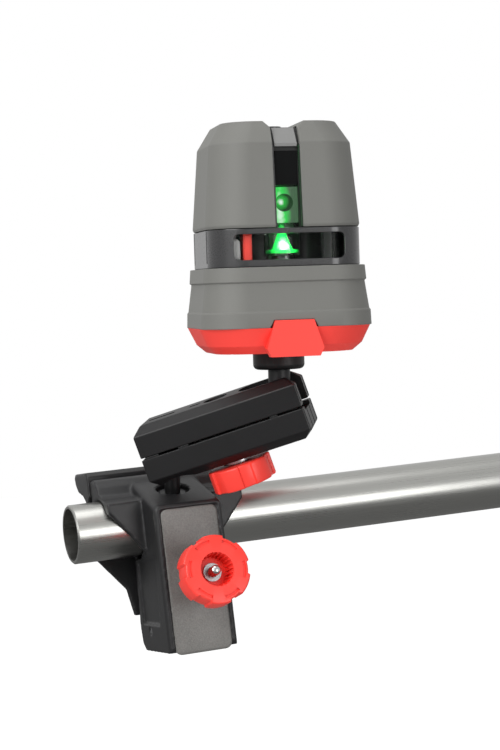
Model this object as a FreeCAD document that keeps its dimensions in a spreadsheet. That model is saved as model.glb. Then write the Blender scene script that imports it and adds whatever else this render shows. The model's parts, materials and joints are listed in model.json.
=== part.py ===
# Self-levelling cross-line laser on a double-ball arm, held by a lever clamp on a round tube.
# Millimetres. +Z is the laser's plumb axis, X follows the tube, the clamp's screw faces -Y.
# The origin is the centre of the tube's fixed end.
import FreeCAD, Part
import math
import os
import Sketcher

Vector = FreeCAD.Vector
Rotation = FreeCAD.Rotation
Placement = FreeCAD.Placement

# ---------------------------------------------------------------- driving dimensions
SIZES = {
    # how the groups stand to one another (degrees)
    "tube_tilt": 2.63, "clamp_lean": 6.94, "arm_turn": 33.0, "arm_rise": 17.0, "arm_roll": 7.0,
    "laser_turn": 11.0,
    # tube
    "tube_diameter": 30.0, "tube_wall": 1.8, "tube_free_end": 52.0, "tube_fixed_end": 205.0,
    "tube_edge": 0.7,
    # clearances
    "fit_gap": 0.3, "run_gap": 0.05, "slip": 0.1,
    # clamp body
    "clamp_width": 36.0, "clamp_front": 36.0, "clamp_drop": 63.5, "clamp_brow": 9.2,
    "clamp_slope": 20.0, "clamp_round": 2.8, "clamp_wall": 3.5, "jaw_half": 36.0, "jaw_plate": 2.3,
    "lip_height": 26.0, "lip_reach": 11.0, "plate_width": 30.6, "plate_height": 72.6, "plate_thickness": 1.4,
    # rear jaw
    "lever_width": 28.0, "lever_lean": 13.7, "rear_half": 37.0,
    "hook_height": 30.2, "hook_reach": 36.0, "pin_diameter": 3.7, "pin_back": 6.9, "pin_drop": 53.1,
    # clamp screw and its knob
    "screw_tilt": 12.0, "screw_diameter": 5.0, "screw_tip": 68.0, "screw_height": 23.4,
    "trunnion_diameter": 9.0, "trunnion_back": 17.0,
    "knob_diameter": 34.0, "knob_depth": 12.3, "knob_bore": 16.8, "knob_floor": 3.0,
    "knob_lobes": 6, "knob_ribs": 24, "sleeve_diameter": 12.0,
    # ball arm
    "stud_well": 17.0, "well_depth": 3.5, "shank_diameter": 6.0, "shank_depth": 2.8, "stud_flange": 13.0,
    "stud_back": 14.0, "ball_height": 22.68, "ball_diameter": 15.0, "neck_diameter": 8.0,
    "ball_spacing": 58.5, "arm_length": 86.0, "arm_depth": 30.0, "arm_height": 32.0,
    "arm_chamfer": 4.2, "arm_seam": 1.0, "arm_screw_diameter": 6.0,
    "arm_knob_diameter": 33.0, "arm_knob_depth": 11.9,
    "collar_diameter": 25.6, "collar_depth": 9.0, "collar_drop": 29.6, "upper_neck_diameter": 11.0,
    "thread_diameter": 6.35, "thread_length": 7.0,
    # laser level
    "base_width": 84.6, "base_height": 12.4, "base_foot": 68.0, "base_knee": 76.6, "knee_height": 3.8,
    "corner_round": 20.0,
    "grip_width": 79.6, "grip_top": 41.5, "step_low": 20.1, "step_high": 34.2, "grip_wall": 3.4,
    "skin_inset": 0.6, "step_rise": 0.6, "ledge_inset": 2.2, "lip_out": 0.8,
    "band_width": 75.2, "band_top": 60.0, "band_wall": 2.8, "window_width": 54.0,
    "window_low": 45.0, "window_high": 57.2, "glass_thickness": 1.6,
    "wing_width": 76.2, "wing_shoulder": 69.8, "wing_crown": 57.0, "shoulder_height": 100.8,
    "laser_height": 111.4, "wing_wall": 3.0, "slot_width": 13.4,
    "core_wall": 2.4, "bump_width": 19.0, "bump_flare": 27.0, "bump_height": 16.0,
    "bump_drop": 1.4, "bump_out": 1.8,
    "cone_base": 17.4, "cone_low": 47.0, "cone_top": 66.0, "cone_out": 17.0,
    "gimbal_height": 92.0, "ring_diameter": 30.0, "module_diameter": 11.0,
    "cell_diameter": 14.2, "cell_length": 50.0, "door_width": 58.0, "door_height": 22.5,
    "button_diameter": 9.0, "button_travel": 1.0,
    "base_screw": 3.0, "screw_head": 5.6, "screw_spread": 52.0, "hinge_pin": 2.0, "pivot_pin": 2.4,
}

doc = FreeCAD.newDocument("laser_level_on_clamp")
sheet = doc.addObject("Spreadsheet::Sheet", "Sizes")
for row, (alias, number) in enumerate(SIZES.items(), start=1):
    sheet.set(f"A{row}", alias)
    sheet.set(f"B{row}", str(number))
    sheet.setAlias(f"B{row}", alias)
doc.recompute()


class Size:
    """A length or angle that carries its value and its expression on the sheet."""

    def __init__(self, value, text):
        self.value = value
        self.text = text

    def __add__(self, other):
        other = size(other)
        return Size(self.value + other.value, f"({self.text} + {other.text})")

    def __sub__(self, other):
        other = size(other)
        return Size(self.value - other.value, f"({self.text} - {other.text})")

    def __mul__(self, other):
        other = size(other)
        return Size(self.value * other.value, f"({self.text} * {other.text})")

    def __truediv__(self, other):
        other = size(other)
        return Size(self.value / other.value, f"({self.text} / {other.text})")

    def __neg__(self):
        return Size(-self.value, f"(0 - {self.text})")

    __radd__ = __add__
    __rmul__ = __mul__

    def __rsub__(self, other):
        return size(other) - self


def size(thing):
    """A sheet alias, a number or a Size, as a Size."""
    if isinstance(thing, Size):
        return thing
    if isinstance(thing, str):
        return Size(float(sheet.get(thing)), f"Sizes.{thing}")
    return Size(float(thing), repr(float(thing)))


def tangent(angle):
    return Size(math.tan(math.radians(angle.value)), f"tan({angle.text} * 1deg)")


def sine(angle):
    return Size(math.sin(math.radians(angle.value)), f"sin({angle.text} * 1deg)")


def cosine(angle):
    return Size(math.cos(math.radians(angle.value)), f"cos({angle.text} * 1deg)")


s = {alias: size(alias) for alias in SIZES}


def bind(thing, **sizes):
    """Bind properties to sizes; a double underscore stands for a dot."""
    for name, amount in sizes.items():
        thing.setExpression(name.replace("__", "."), size(amount).text)
    return thing


# ---------------------------------------------------------------- sketches and features
PLANES = {"XY": "XY_Plane", "XZ": "XZ_Plane", "YZ": "YZ_Plane"}


def new_body(label):
    part = doc.addObject("PartDesign::Body", label)
    part.Label = label
    return part


def new_sketch(part, name, plane="XY", offset=0):
    """A sketch on one of the body's own planes, moved along the plane's normal."""
    sketch = part.newObject("Sketcher::SketchObject", f"{part.Name}_{name}")
    origin = [face for face in part.Origin.OriginFeatures if face.Role == PLANES[plane]][0]
    sketch.AttachmentSupport = [(origin, "")]
    sketch.MapMode = "FlatFace"
    sketch.AttachmentOffset = Placement(Vector(0, 0, size(offset).value), Rotation())
    bind(sketch, AttachmentOffset__Base__z=offset)
    return sketch


def pin_point(sketch, line, end, across, along):
    """Hold one end of a line at sketch coordinates given as sizes."""
    for kind, amount in (("DistanceX", size(across)), ("DistanceY", size(along))):
        index = sketch.addConstraint(Sketcher.Constraint(kind, -1, 1, line, end, amount.value))
        sketch.setExpression(f"Constraints[{index}]", amount.text)


def outline(part, name, plane, points, offset=0):
    """A closed outline through points given as pairs of sizes."""
    sketch = new_sketch(part, name, plane, offset)
    pairs = [(size(across), size(along)) for across, along in points]
    places = [Vector(across.value, along.value, 0) for across, along in pairs]
    for start, end in zip(places, places[1:] + places[:1]):
        sketch.addGeometry(Part.LineSegment(start, end))
    count = len(pairs)
    for line in range(count):
        sketch.addConstraint(Sketcher.Constraint("Coincident", line, 2, (line + 1) % count, 1))
    for line, (across, along) in enumerate(pairs):
        pin_point(sketch, line, 1, across, along)
    return sketch


def rectangle(part, name, plane, across, along, offset=0):
    """A rectangle from (low, high) across and (low, high) along."""
    left, right = across
    low, high = along
    return outline(part, name, plane, [(left, low), (right, low), (right, high), (left, high)], offset)


def circles(part, name, plane, centre, diameters, offset=0):
    """One or more circles about one centre."""
    sketch = new_sketch(part, name, plane, offset)
    across, along = size(centre[0]), size(centre[1])
    for diameter in diameters:
        diameter = size(diameter)
        spot = Vector(across.value, along.value, 0)
        curve = sketch.addGeometry(Part.Circle(spot, Vector(0, 0, 1), diameter.value / 2))
        index = sketch.addConstraint(Sketcher.Constraint("Diameter", curve, diameter.value))
        sketch.setExpression(f"Constraints[{index}]", diameter.text)
        pin_point(sketch, curve, 3, across, along)
    return sketch


def soft_square(part, name, width, corner, offset=0, depth=None):
    """A rectangle with round corners, centred on the body's axis."""
    sketch = new_sketch(part, name, "XY", offset)
    width, corner = size(width), size(corner)
    depth = width if depth is None else size(depth)
    half, deep, bend = width.value / 2, depth.value / 2, corner.value
    spots = [(half - bend, -deep), (half, bend - deep), (half, deep - bend), (half - bend, deep),
             (bend - half, deep), (-half, deep - bend), (-half, bend - deep), (bend - half, -deep)]
    spots = [Vector(x, y, 0) for x, y in spots]
    middles = [Vector(x * (half - bend), y * (deep - bend), 0) for x,
               y in ((1, -1), (1, 1), (-1, 1), (-1, -1))]
    for corner_number, middle in enumerate(middles):
        start = (corner_number * 90 - 90) * math.pi / 180
        circle = Part.Circle(middle, Vector(0, 0, 1), bend)
        sketch.addGeometry(Part.ArcOfCircle(circle, start, start + math.pi / 2))
    for side in range(4):
        sketch.addGeometry(Part.LineSegment(spots[2 * side + 1], spots[(2 * side + 2) % 8]))
    for side in range(4):
        sketch.addConstraint(Sketcher.Constraint("Tangent", side, 2, 4 + side, 1))
        sketch.addConstraint(Sketcher.Constraint("Tangent", 4 + side, 2, (side + 1) % 4, 1))
        direction = "Vertical" if side % 2 == 0 else "Horizontal"
        sketch.addConstraint(Sketcher.Constraint(direction, 4 + side))
    for arc in range(1, 4):
        sketch.addConstraint(Sketcher.Constraint("Equal", 0, arc))
    limits = [("Radius", (0,), corner), ("DistanceX", (-1, 1, 4, 1), width / 2),
              ("DistanceX", (6, 1, -1, 1), width / 2), ("DistanceY", (-1, 1, 5, 1), depth / 2),
              ("DistanceY", (7, 1, -1, 1), depth / 2)]
    for kind, places, amount in limits:
        index = sketch.addConstraint(Sketcher.Constraint(kind, *places, amount.value))
        sketch.setExpression(f"Constraints[{index}]", amount.text)
    return sketch


def pad(part, sketch, length, back=False, taper=0):
    """Add along the sketch's normal, or against it."""
    feature = part.newObject("PartDesign::Pad", f"{sketch.Name}_pad")
    feature.Profile = sketch
    feature.Reversed = back
    bind(feature, Length=length, TaperAngle=taper)
    sketch.Visibility = False
    return feature


def pocket(part, sketch, length, back=False):
    """Cut against the sketch's normal, or along it, and make sure that it cuts."""
    doc.recompute()
    before = part.Shape.Volume
    feature = part.newObject("PartDesign::Pocket", f"{sketch.Name}_pocket")
    feature.Profile = sketch
    feature.Reversed = back
    bind(feature, Length=length)
    sketch.Visibility = False
    doc.recompute()
    if not part.Shape.Volume < before - 0.01:
        raise ValueError(f"{feature.Name} cuts nothing")
    return feature


def turn(part, sketch, groove=False):
    """Turn a sketch in the XZ plane about the body's vertical axis."""
    kind = "PartDesign::Groove" if groove else "PartDesign::Revolution"
    feature = part.newObject(kind, f"{sketch.Name}_turn")
    feature.Profile = sketch
    feature.ReferenceAxis = (sketch, ["V_Axis"])
    feature.Angle = 360
    sketch.Visibility = False
    return feature


def around(part, feature, count):
    """Repeat a feature about the body's vertical axis."""
    pattern = part.newObject("PartDesign::PolarPattern", f"{feature.Name}_ring")
    pattern.Originals = [feature]
    axis = [line for line in part.Origin.OriginFeatures if line.Role == "Z_Axis"][0]
    pattern.Axis = (axis, [""])
    pattern.Angle = 360
    bind(pattern, Occurrences=count)
    part.Tip = pattern
    return pattern


def ease(part, amount, chosen, kind="Fillet"):
    """Fillet or chamfer the edges of the body for which chosen(edge) holds."""
    doc.recompute()
    base = part.Tip
    names = [f"Edge{number}" for number, edge in enumerate(base.Shape.Edges, start=1) if chosen(edge)]
    if not names:
        raise ValueError(f"no edges chosen on {base.Name}")
    feature = part.newObject(f"PartDesign::{kind}", f"{base.Name}_{kind.lower()}")
    feature.Base = (base, names)
    if kind == "Fillet":
        bind(feature, Radius=amount)
    else:
        bind(feature, Size=amount)
    return feature


def runs_along(edge, axis):
    """True for a straight edge along the named axis."""
    if edge.Curve.TypeId != "Part::GeomLine":
        return False
    direction = edge.Curve.Direction
    return abs(getattr(direction, axis.lower())) > 0.999


def near(value, amount, slack=0.05):
    return abs(value - size(amount).value) < slack


# ---------------------------------------------------------------- plain solids
def cylinder(name, diameter, length, spot=(0, 0, 0), towards=Vector(0, 0, 1)):
    """A cylinder from a spot given as sizes, along a fixed direction."""
    solid = doc.addObject("Part::Cylinder", name)
    solid.Placement.Rotation = Rotation(Vector(0, 0, 1), towards)
    bind(solid, Radius=size(diameter) / 2, Height=length, Placement__Base__x=spot[0],
         Placement__Base__y=spot[1], Placement__Base__z=spot[2])
    return solid


def block(name, low, high):
    """A box between two corners given as sizes."""
    solid = doc.addObject("Part::Box", name)
    spans = [size(top) - size(bottom) for bottom, top in zip(low, high)]
    bind(solid, Length=spans[0], Width=spans[1], Height=spans[2], Placement__Base__x=low[0],
         Placement__Base__y=low[1], Placement__Base__z=low[2])
    return solid


def ball(name, diameter, spot=(0, 0, 0)):
    solid = doc.addObject("Part::Sphere", name)
    bind(solid, Radius=size(diameter) / 2, Placement__Base__x=spot[0], Placement__Base__y=spot[1],
         Placement__Base__z=spot[2])
    return solid


def fuse(name, *solids):
    joined = doc.addObject("Part::MultiFuse", name)
    joined.Shapes = list(solids)
    joined.Refine = True
    return joined


def cut(name, base, *tools):
    """Take the tools out of the base."""
    tool = tools[0] if len(tools) == 1 else fuse(f"{name}_tools", *tools)
    result = doc.addObject("Part::Cut", name)
    result.Base = base
    result.Tool = tool
    result.Refine = True
    return result


def group(name, *solids):
    """Separate solids kept as one sub-part."""
    together = doc.addObject("Part::Compound", name)
    together.Links = list(solids)
    return together


# ---------------------------------------------------------------- where the groups stand
fixed_end, tilt = s["tube_fixed_end"].value, s["tube_tilt"].value
along_tube = Rotation(Vector(0, 1, 0), -tilt)
clamp_seat = along_tube.multVec(Vector(-fixed_end, 0, 0))
STAND = Placement(clamp_seat, along_tube * Rotation(Vector(1, 0, 0), -s["clamp_lean"].value))

# the lower ball stands square on the clamp's sloping shoulder
slope = s["clamp_slope"]
stud_foot = s["clamp_brow"] + (s["clamp_front"] - s["stud_back"]) * tangent(slope)
stud_axis = Vector(0, -sine(slope).value, cosine(slope).value)
stud_spot = Vector(0, -s["stud_back"].value, stud_foot.value)
STUD = STAND * Placement(stud_spot, Rotation(Vector(1, 0, 0), slope.value))
lower_ball = STUD.multVec(Vector(0, 0, s["ball_height"].value))

arm_bearing = (Rotation(Vector(0, 0, 1), -s["arm_turn"].value)
               * Rotation(Vector(0, 1, 0), -s["arm_rise"].value)
               * Rotation(Vector(1, 0, 0), s["arm_roll"].value))
half_span = s["ball_spacing"].value / 2
ARM = Placement(lower_ball + arm_bearing.multVec(Vector(half_span, 0, 0)), arm_bearing)
upper_ball = ARM.multVec(Vector(half_span, 0, 0))
UPPER = Placement(upper_ball, Rotation())
LASER = Placement(upper_ball + Vector(0, 0, s["collar_drop"].value),
                  Rotation(Vector(0, 0, 1), -s["laser_turn"].value))

subparts = []


def keep(thing, label, where):
    """Name a finished sub-part and put it where its group stands."""
    thing.Label = label
    doc.recompute()
    thing.Placement = where
    subparts.append((thing, label))
    return thing

# ---------------------------------------------------------------- the tube
tube = new_body("support_tube")
tube_ring = circles(tube, "section", "YZ", (0, 0), ["tube_diameter", s["tube_diameter"] - 2 * s["tube_wall"]],
                    -s["tube_free_end"])
pad(tube, tube_ring, s["tube_free_end"] + s["tube_fixed_end"])
ease(tube, "tube_edge", lambda edge: near(edge.BoundBox.YLength, "tube_diameter") and edge.BoundBox.XMax < 0,
     "Chamfer")
keep(tube, "support_tube", STAND)

# ---------------------------------------------------------------- the clamp
front = -s["clamp_front"]
tube_radius = s["tube_diameter"] / 2
jaw_radius = tube_radius + s["fit_gap"]
brow, drop, reach = s["clamp_brow"], s["clamp_drop"], s["lip_reach"]
half_width, wall = s["clamp_width"] / 2, s["clamp_wall"]
crest = brow + (s["clamp_front"] - 1) * tangent(slope)
under_tube = jaw_radius + 1.2
pin_at = (-s["pin_back"], -s["pin_drop"])
screw_angle = s["screw_tilt"]


def screw_height(back):
    """Height of the screw's axis at a distance in front of (-) or behind (+) the tube's axis."""
    return -s["screw_height"] - (size(back) + s["screw_tip"]) * tangent(screw_angle)


body = new_body("clamp_body")
middle = outline(body, "middle", "YZ", [
    (front, -drop), (front, brow), (-1, crest), (reach, s["lip_height"]), (reach, 9.5), (-8, -12.5),
    (-4, -under_tube), (6.5, -under_tube), (10, -s["pin_drop"]), (8.5, 3.5 - drop), (4, -drop)], -half_width)
pad(body, middle, s["clamp_width"])
ease(body, "clamp_round", lambda edge: near(edge.BoundBox.YMax, front))
ease(body, "clamp_round", lambda edge: near(edge.BoundBox.XLength, 0) and near(edge.BoundBox.ZMax, crest)
     and edge.BoundBox.YLength > s["clamp_front"].value - 6)
plate_back = -tube_radius - s["jaw_plate"]
wing = outline(body, "wing", "YZ", [
    (plate_back, -14), (plate_back, 13.2), (-6.3, s["lip_height"] - 10.4), (-3.4, s["lip_height"] - 8.8),
    (-0.4, s["lip_height"] - 4.2), (2.6, s["lip_height"] - 1), (6, s["lip_height"]),
    (reach, s["lip_height"] - 0.6), (reach, 9.5), (-12, -9.5), (-12.5, -14)], -s["jaw_half"])
pad(body, wing, 2 * s["jaw_half"])
bore = circles(body, "tube_seat", "YZ", (0, 0), [2 * jaw_radius], -s["jaw_half"] - 1)
pocket(body, bore, 2 * s["jaw_half"] + 2, True)
for side, sign in (("left", -1), ("right", 1)):
    corner = outline(body, f"{side}_corner", "XZ", [
        (sign * (s["jaw_half"] + 1), 8.5), (sign * s["jaw_half"], 8.5), (sign * 18.2, -13),
        (sign * 18.2, -16), (sign * (s["jaw_half"] + 1), -16)], -12)
    pocket(body, corner, s["tube_diameter"], True)
inside = half_width - wall
hollow = outline(body, "hollow", "YZ", [
    (front + wall, 3.0 - drop), (front + wall, -8), (-3 - jaw_radius, -8), (-15, -under_tube - 2.5), (20,
        -under_tube - 2.5),
    (20, 3.0 - drop)], -inside)
pocket(body, hollow, 2 * inside, True)
for side, offset in (("left", -half_width - 1), ("right", half_width - 1.2)):
    recess = outline(body, f"{side}_recess", "YZ", [(-28, -14), (3.6, -15.5 - 2), (3.8, -50),
                                                    (-23.5, -50)], offset)
    pocket(body, recess, 2.2, True)
pin_hole = circles(body, "pin_hole", "YZ", pin_at, [s["pin_diameter"]], -half_width - 1)
pocket(body, pin_hole, s["clamp_width"] + 2, True)
slot_low, slot_high = screw_height(front) - 5, screw_height(front) + 6
slot = rectangle(body, "screw_slot", "XZ", (-3.6, 3.6), (slot_low, slot_high), s["clamp_front"] + 1)
pocket(body, slot, wall + 2)
plate_seat = rectangle(body, "plate_seat", "XZ", (-s["plate_width"] / 2, s["plate_width"] / 2),
                       (brow - 1.5 - s["plate_height"], brow - 1.5), s["clamp_front"] + 1)
pocket(body, plate_seat, s["plate_thickness"] - 0.2 + 1)
for name, diameter, depth in (("stud_well", s["stud_well"], s["well_depth"]),
                              ("stud_bore", s["shank_diameter"] + 2 * s["run_gap"],
                               s["well_depth"] + s["shank_depth"] + 0.2)):
    mouth = circles(body, name, "XY", (0, 0), [diameter])
    mouth.AttachmentOffset = Placement(stud_spot, Rotation(Vector(1, 0, 0), slope.value))
    bind(mouth, AttachmentOffset__Base__y=-s["stud_back"], AttachmentOffset__Base__z=stud_foot,
         AttachmentOffset__Rotation__Angle=slope)
    pocket(body, mouth, depth)
keep(body, "clamp_body", STAND)

plate = new_body("front_plate")
gap = s["slip"]
plate_face = rectangle(plate, "face", "XZ",
                       (gap - s["plate_width"] / 2, s["plate_width"] / 2 - gap),
                       (brow - 1.5 + gap - s["plate_height"], brow - 1.5 - gap),
                       s["clamp_front"] - s["plate_thickness"] + 0.2)
pad(plate, plate_face, s["plate_thickness"])
ease(plate, 3.5, lambda edge: runs_along(edge, "Y"))
plate_slot = rectangle(plate, "screw_slot", "XZ", (-3.6, 3.6), (slot_low, slot_high), s["clamp_front"] + 1)
pocket(plate, plate_slot, s["plate_thickness"] + 2)
keep(plate, "front_plate", STAND)

lever = new_body("rear_jaw")
lean = tangent(s["lever_lean"])
behind = tube_radius + s["fit_gap"]
hook_top, hook_end, hook_tip = s["hook_height"], s["hook_reach"], reach + s["fit_gap"] + 0.3
lever_half = s["lever_width"] / 2
wing_foot = -46.0


def lever_back(height):
    """The lever's sloping back at a height."""
    return hook_end - (s["hook_height"] - 2.2 - size(height)) * lean


spine = outline(lever, "spine", "YZ", [
    (-12.5, -58.5), (-12.5, -49), (-4, -42), (3, -24), (behind, -15), (behind, 10), (behind, hook_top - 5),
    (lever_back(hook_top - 5), hook_top - 5), (lever_back(wing_foot), wing_foot), (2, -57)], -lever_half)
pad(lever, spine, s["lever_width"])
hook = outline(lever, "hook", "YZ", [
    (hook_tip, 17.4), (hook_tip, hook_top - 2.2), (hook_tip + 2, hook_top), (hook_end - 2, hook_top),
    (hook_end, hook_top - 2.2), (hook_end - 1.2, hook_top - 6), (hook_end - 5, hook_top - 9.6),
    (behind + 7, hook_top - 12.2), (behind + 3.2, 14), (behind + 3.2, wing_foot), (behind, wing_foot),
    (behind, 12), (hook_tip + 1, 16.4)], -s["rear_half"])
pad(lever, hook, 2 * s["rear_half"])
for side, sign in (("left", -1), ("right", 1)):
    corner = outline(lever, f"{side}_corner", "XZ", [
        (sign * (s["rear_half"] + 1), -13), (sign * s["rear_half"], -13), (sign * (lever_half + 7), -32),
        (sign * (lever_half + 4), wing_foot - 1), (sign * (s["rear_half"] + 1), wing_foot - 1)], -hook_end)
    pocket(lever, corner, s["hook_reach"], True)
lever_hole = circles(lever, "pin_hole", "YZ", pin_at, [s["pin_diameter"] + 2 * s["run_gap"]], -lever_half - 1)
pocket(lever, lever_hole, s["lever_width"] + 2, True)
trunnion_at = (s["trunnion_back"], screw_height(s["trunnion_back"]))
trunnion_hole = circles(lever, "trunnion_hole", "YZ", trunnion_at,
                        [s["trunnion_diameter"] + 2 * s["slip"]], -lever_half - 1)
pocket(lever, trunnion_hole, s["lever_width"] + 2, True)
screw_way = rectangle(lever, "screw_way", "XZ", (-3.2, 3.2),
                      (trunnion_at[1] - 5, trunnion_at[1] + 12), -s["trunnion_back"] - 3)
pocket(lever, screw_way, 50, True)
keep(lever, "rear_jaw", STAND)

cross = Vector(1, 0, 0)
pin = cylinder("jaw_pin", s["pin_diameter"], s["clamp_width"] - 1, (0.5 - half_width, *pin_at), cross)
keep(group("jaw_hinge_pin", pin), "jaw_hinge_pin", STAND)

# the screw's own frame: +Z runs out of the knob, the origin is the screw's tip
SCREW = STAND * Placement(Vector(0, -s["screw_tip"].value, -s["screw_height"].value),
                          Rotation(Vector(1, 0, 0), 90 - s["screw_tilt"].value))
screw_reach = (s["trunnion_back"] + s["screw_tip"]) / cosine(screw_angle)
screw_end = screw_reach + s["trunnion_diameter"] / 2
shaft = cylinder("screw_shaft", "screw_diameter", screw_end - s["screw_diameter"] / 2, (0, 0, -screw_end))
tip = ball("screw_dome", "screw_diameter", (0, 0, -s["screw_diameter"] / 2))
keep(fuse("clamp_screw", shaft, tip), "clamp_screw", SCREW)

barrel = cylinder("trunnion_bar", "trunnion_diameter", s["lever_width"] - 1,
                  (0.5 - lever_half, 0, -screw_reach), cross)
barrel_hole = cylinder("trunnion_bore", "screw_diameter", s["trunnion_diameter"] + 4,
                       (0, 0, -screw_reach - s["trunnion_diameter"] / 2 - 2))
keep(cut("screw_trunnion", barrel, barrel_hole), "screw_trunnion", SCREW)


def knob(label, diameter, depth, insert):
    """A lobed hand knob: face at its frame's origin, back towards -Z, ribs inside its open bore."""
    diameter, depth = size(diameter), size(depth)
    part = new_body(label)
    rim = circles(part, "rim", "XY", (0, 0), [diameter], -depth)
    pad(part, rim, depth)
    ease(part, 0.8, lambda edge: edge.BoundBox.ZLength < 0.01)
    well = circles(part, "well", "XY", (0, 0), ["knob_bore"], 1)
    pocket(part, well, depth - s["knob_floor"] + 1)
    hole = circles(part, "hole", "XY", (0, 0), [insert], 1)
    pocket(part, hole, depth + 2)
    notch = rectangle(part, "notch", "XY", (diameter / 2 - 0.9, diameter / 2 + 1),
                      (-diameter / 9, diameter / 9), 1)
    around(part, pocket(part, notch, depth + 2), "knob_lobes")
    rib = rectangle(part, "rib", "XY", (s["knob_bore"] / 2 - 1.3, s["knob_bore"] / 2 + 0.2), (-0.4, 0.4),
                    s["knob_floor"] - depth - 0.2)
    around(part, pad(part, rib, depth - s["knob_floor"] - 0.8), "knob_ribs")
    return part


nut_diameter = s["screw_diameter"] + 4
keep(knob("clamp_knob", "knob_diameter", "knob_depth", nut_diameter), "clamp_knob", SCREW)
nut_block = cylinder("knob_nut_block", nut_diameter, s["knob_floor"] + 1.5, (0, 0, -s["knob_depth"]))
nut_bore = cylinder("knob_nut_bore", s["screw_diameter"] + 2 * s["run_gap"], s["knob_floor"] + 4,
                    (0, 0, -s["knob_depth"] - 1))
keep(cut("clamp_knob_nut", nut_block, nut_bore), "clamp_knob_nut", SCREW)

sleeve_length = ((s["screw_tip"] - s["clamp_front"]) / cosine(screw_angle) - s["knob_depth"]
                 - s["sleeve_diameter"] / 2 * tangent(screw_angle) - s["fit_gap"] - 0.2)
sleeve_end = -s["knob_depth"] - s["slip"] - sleeve_length
sleeve_block = cylinder("sleeve_block", "sleeve_diameter", sleeve_length, (0, 0, sleeve_end))
sleeve_bore = cylinder("sleeve_bore", s["screw_diameter"] + 2 * s["run_gap"], sleeve_length + 2,
                       (0, 0, sleeve_end - 1))
keep(cut("knob_sleeve", sleeve_block, sleeve_bore), "knob_sleeve", SCREW)


def coil(name, width, wire, pitch, length, where):
    """A helical spring of round wire about the frame's Z axis, from the origin upwards."""
    path = doc.addObject("Part::Helix", f"{name}_path")
    bind(path, Pitch=pitch, Height=length, Radius=(size(width) - wire) / 2)
    section = doc.addObject("Part::Circle", f"{name}_section")
    section.Placement.Rotation = Rotation(Vector(1, 0, 0), 90)
    bind(section, Radius=size(wire) / 2, Placement__Base__x=(size(width) - wire) / 2)
    sweep = doc.addObject("Part::Sweep", name)
    sweep.Sections = [section]
    sweep.Spine = (path, ["Edge1"])
    sweep.Solid = True
    sweep.Frenet = True
    keep(sweep, name, where)


spring_length = (s["clamp_front"] - wall - 7) / cosine(screw_angle)
spring_start = (s["screw_tip"] - 4) / cosine(screw_angle)
coil("jaw_spring", 9.0, 1.0, 3.6, spring_length - 4, SCREW * Placement(Vector(0, 0, -spring_start.value),
    Rotation()))

# the lower ball stud turns in a short bore in the clamp's shoulder
ball_up = s["ball_height"]
foot = cylinder("stud_shank", "shank_diameter", s["shank_depth"] + 1,
                (0, 0, -s["well_depth"] - s["shank_depth"]))
flange = cylinder("stud_flange", "stud_flange", 1.5, (0, 0, s["slip"] - s["well_depth"]))
neck = cylinder("stud_neck", "neck_diameter", ball_up + s["well_depth"] - 0.1,
                (0, 0, s["slip"] - s["well_depth"]))
keep(fuse("lower_ball_stud", foot, flange, neck, ball("stud_ball", "ball_diameter", (0, 0, ball_up))),
     "lower_ball_stud", STUD)

# ---------------------------------------------------------------- the double-ball arm
arm_half, arm_deep, arm_up = s["arm_length"] / 2, s["arm_depth"] / 2, s["arm_height"] / 2
span_half = s["ball_spacing"] / 2
seam = s["arm_seam"] / 2
socket = s["ball_diameter"] + 2 * s["slip"]


def shell_block(label, up):
    """Half of the arm's casing, flat at the seam and chamfered away from it."""
    part = new_body(label)
    face = rectangle(part, "face", "XY", (-arm_half, arm_half), (-arm_deep, arm_deep), seam if up else -seam)
    pad(part, face, arm_up - seam, not up)
    level = arm_up if up else -arm_up
    ease(part, "arm_chamfer", lambda edge: near(edge.BoundBox.ZMin, level) and near(edge.BoundBox.ZMax,
        level),
         "Chamfer")
    return part


bolt_hole = s["arm_screw_diameter"] + 2 * s["slip"]
bolt_head, head_depth = 12.0, 4.0
spring_well = 11.0
slot_half = s["upper_neck_diameter"] / 2 + 3.2
upper_block = shell_block("upper_shell_block", True)
upper_cuts = [
    ball("upper_left_socket", socket, (-span_half, 0, 0)),
    ball("upper_right_socket", socket, (span_half, 0, 0)),
    cylinder("upper_bolt_hole", bolt_hole, arm_up, (0, 0, 0)),
    cylinder("upper_spring_well", spring_well, 6.5, (0, 0, 0)),
    cylinder("upper_head_well", bolt_head + 0.4, head_depth + 1, (0, 0, arm_up - head_depth)),
    block("upper_slot", (span_half - 8, -slot_half, 0), (arm_half + 1, slot_half, arm_up + 1)),
    cylinder("upper_slot_round", 2 * slot_half, arm_up + 1, (span_half - 8, 0, 0)),
    block("upper_long_recess", (-arm_half + 7, -2.2, arm_up - 1.2), (-arm_half + 21, 1.2, arm_up + 1)),
    block("upper_short_recess", (-14, -1.7, arm_up - 1.2), (-8, 1.7, arm_up + 1)),
]
keep(cut("arm_upper_shell", upper_block, *upper_cuts), "arm_upper_shell", ARM)

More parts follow.
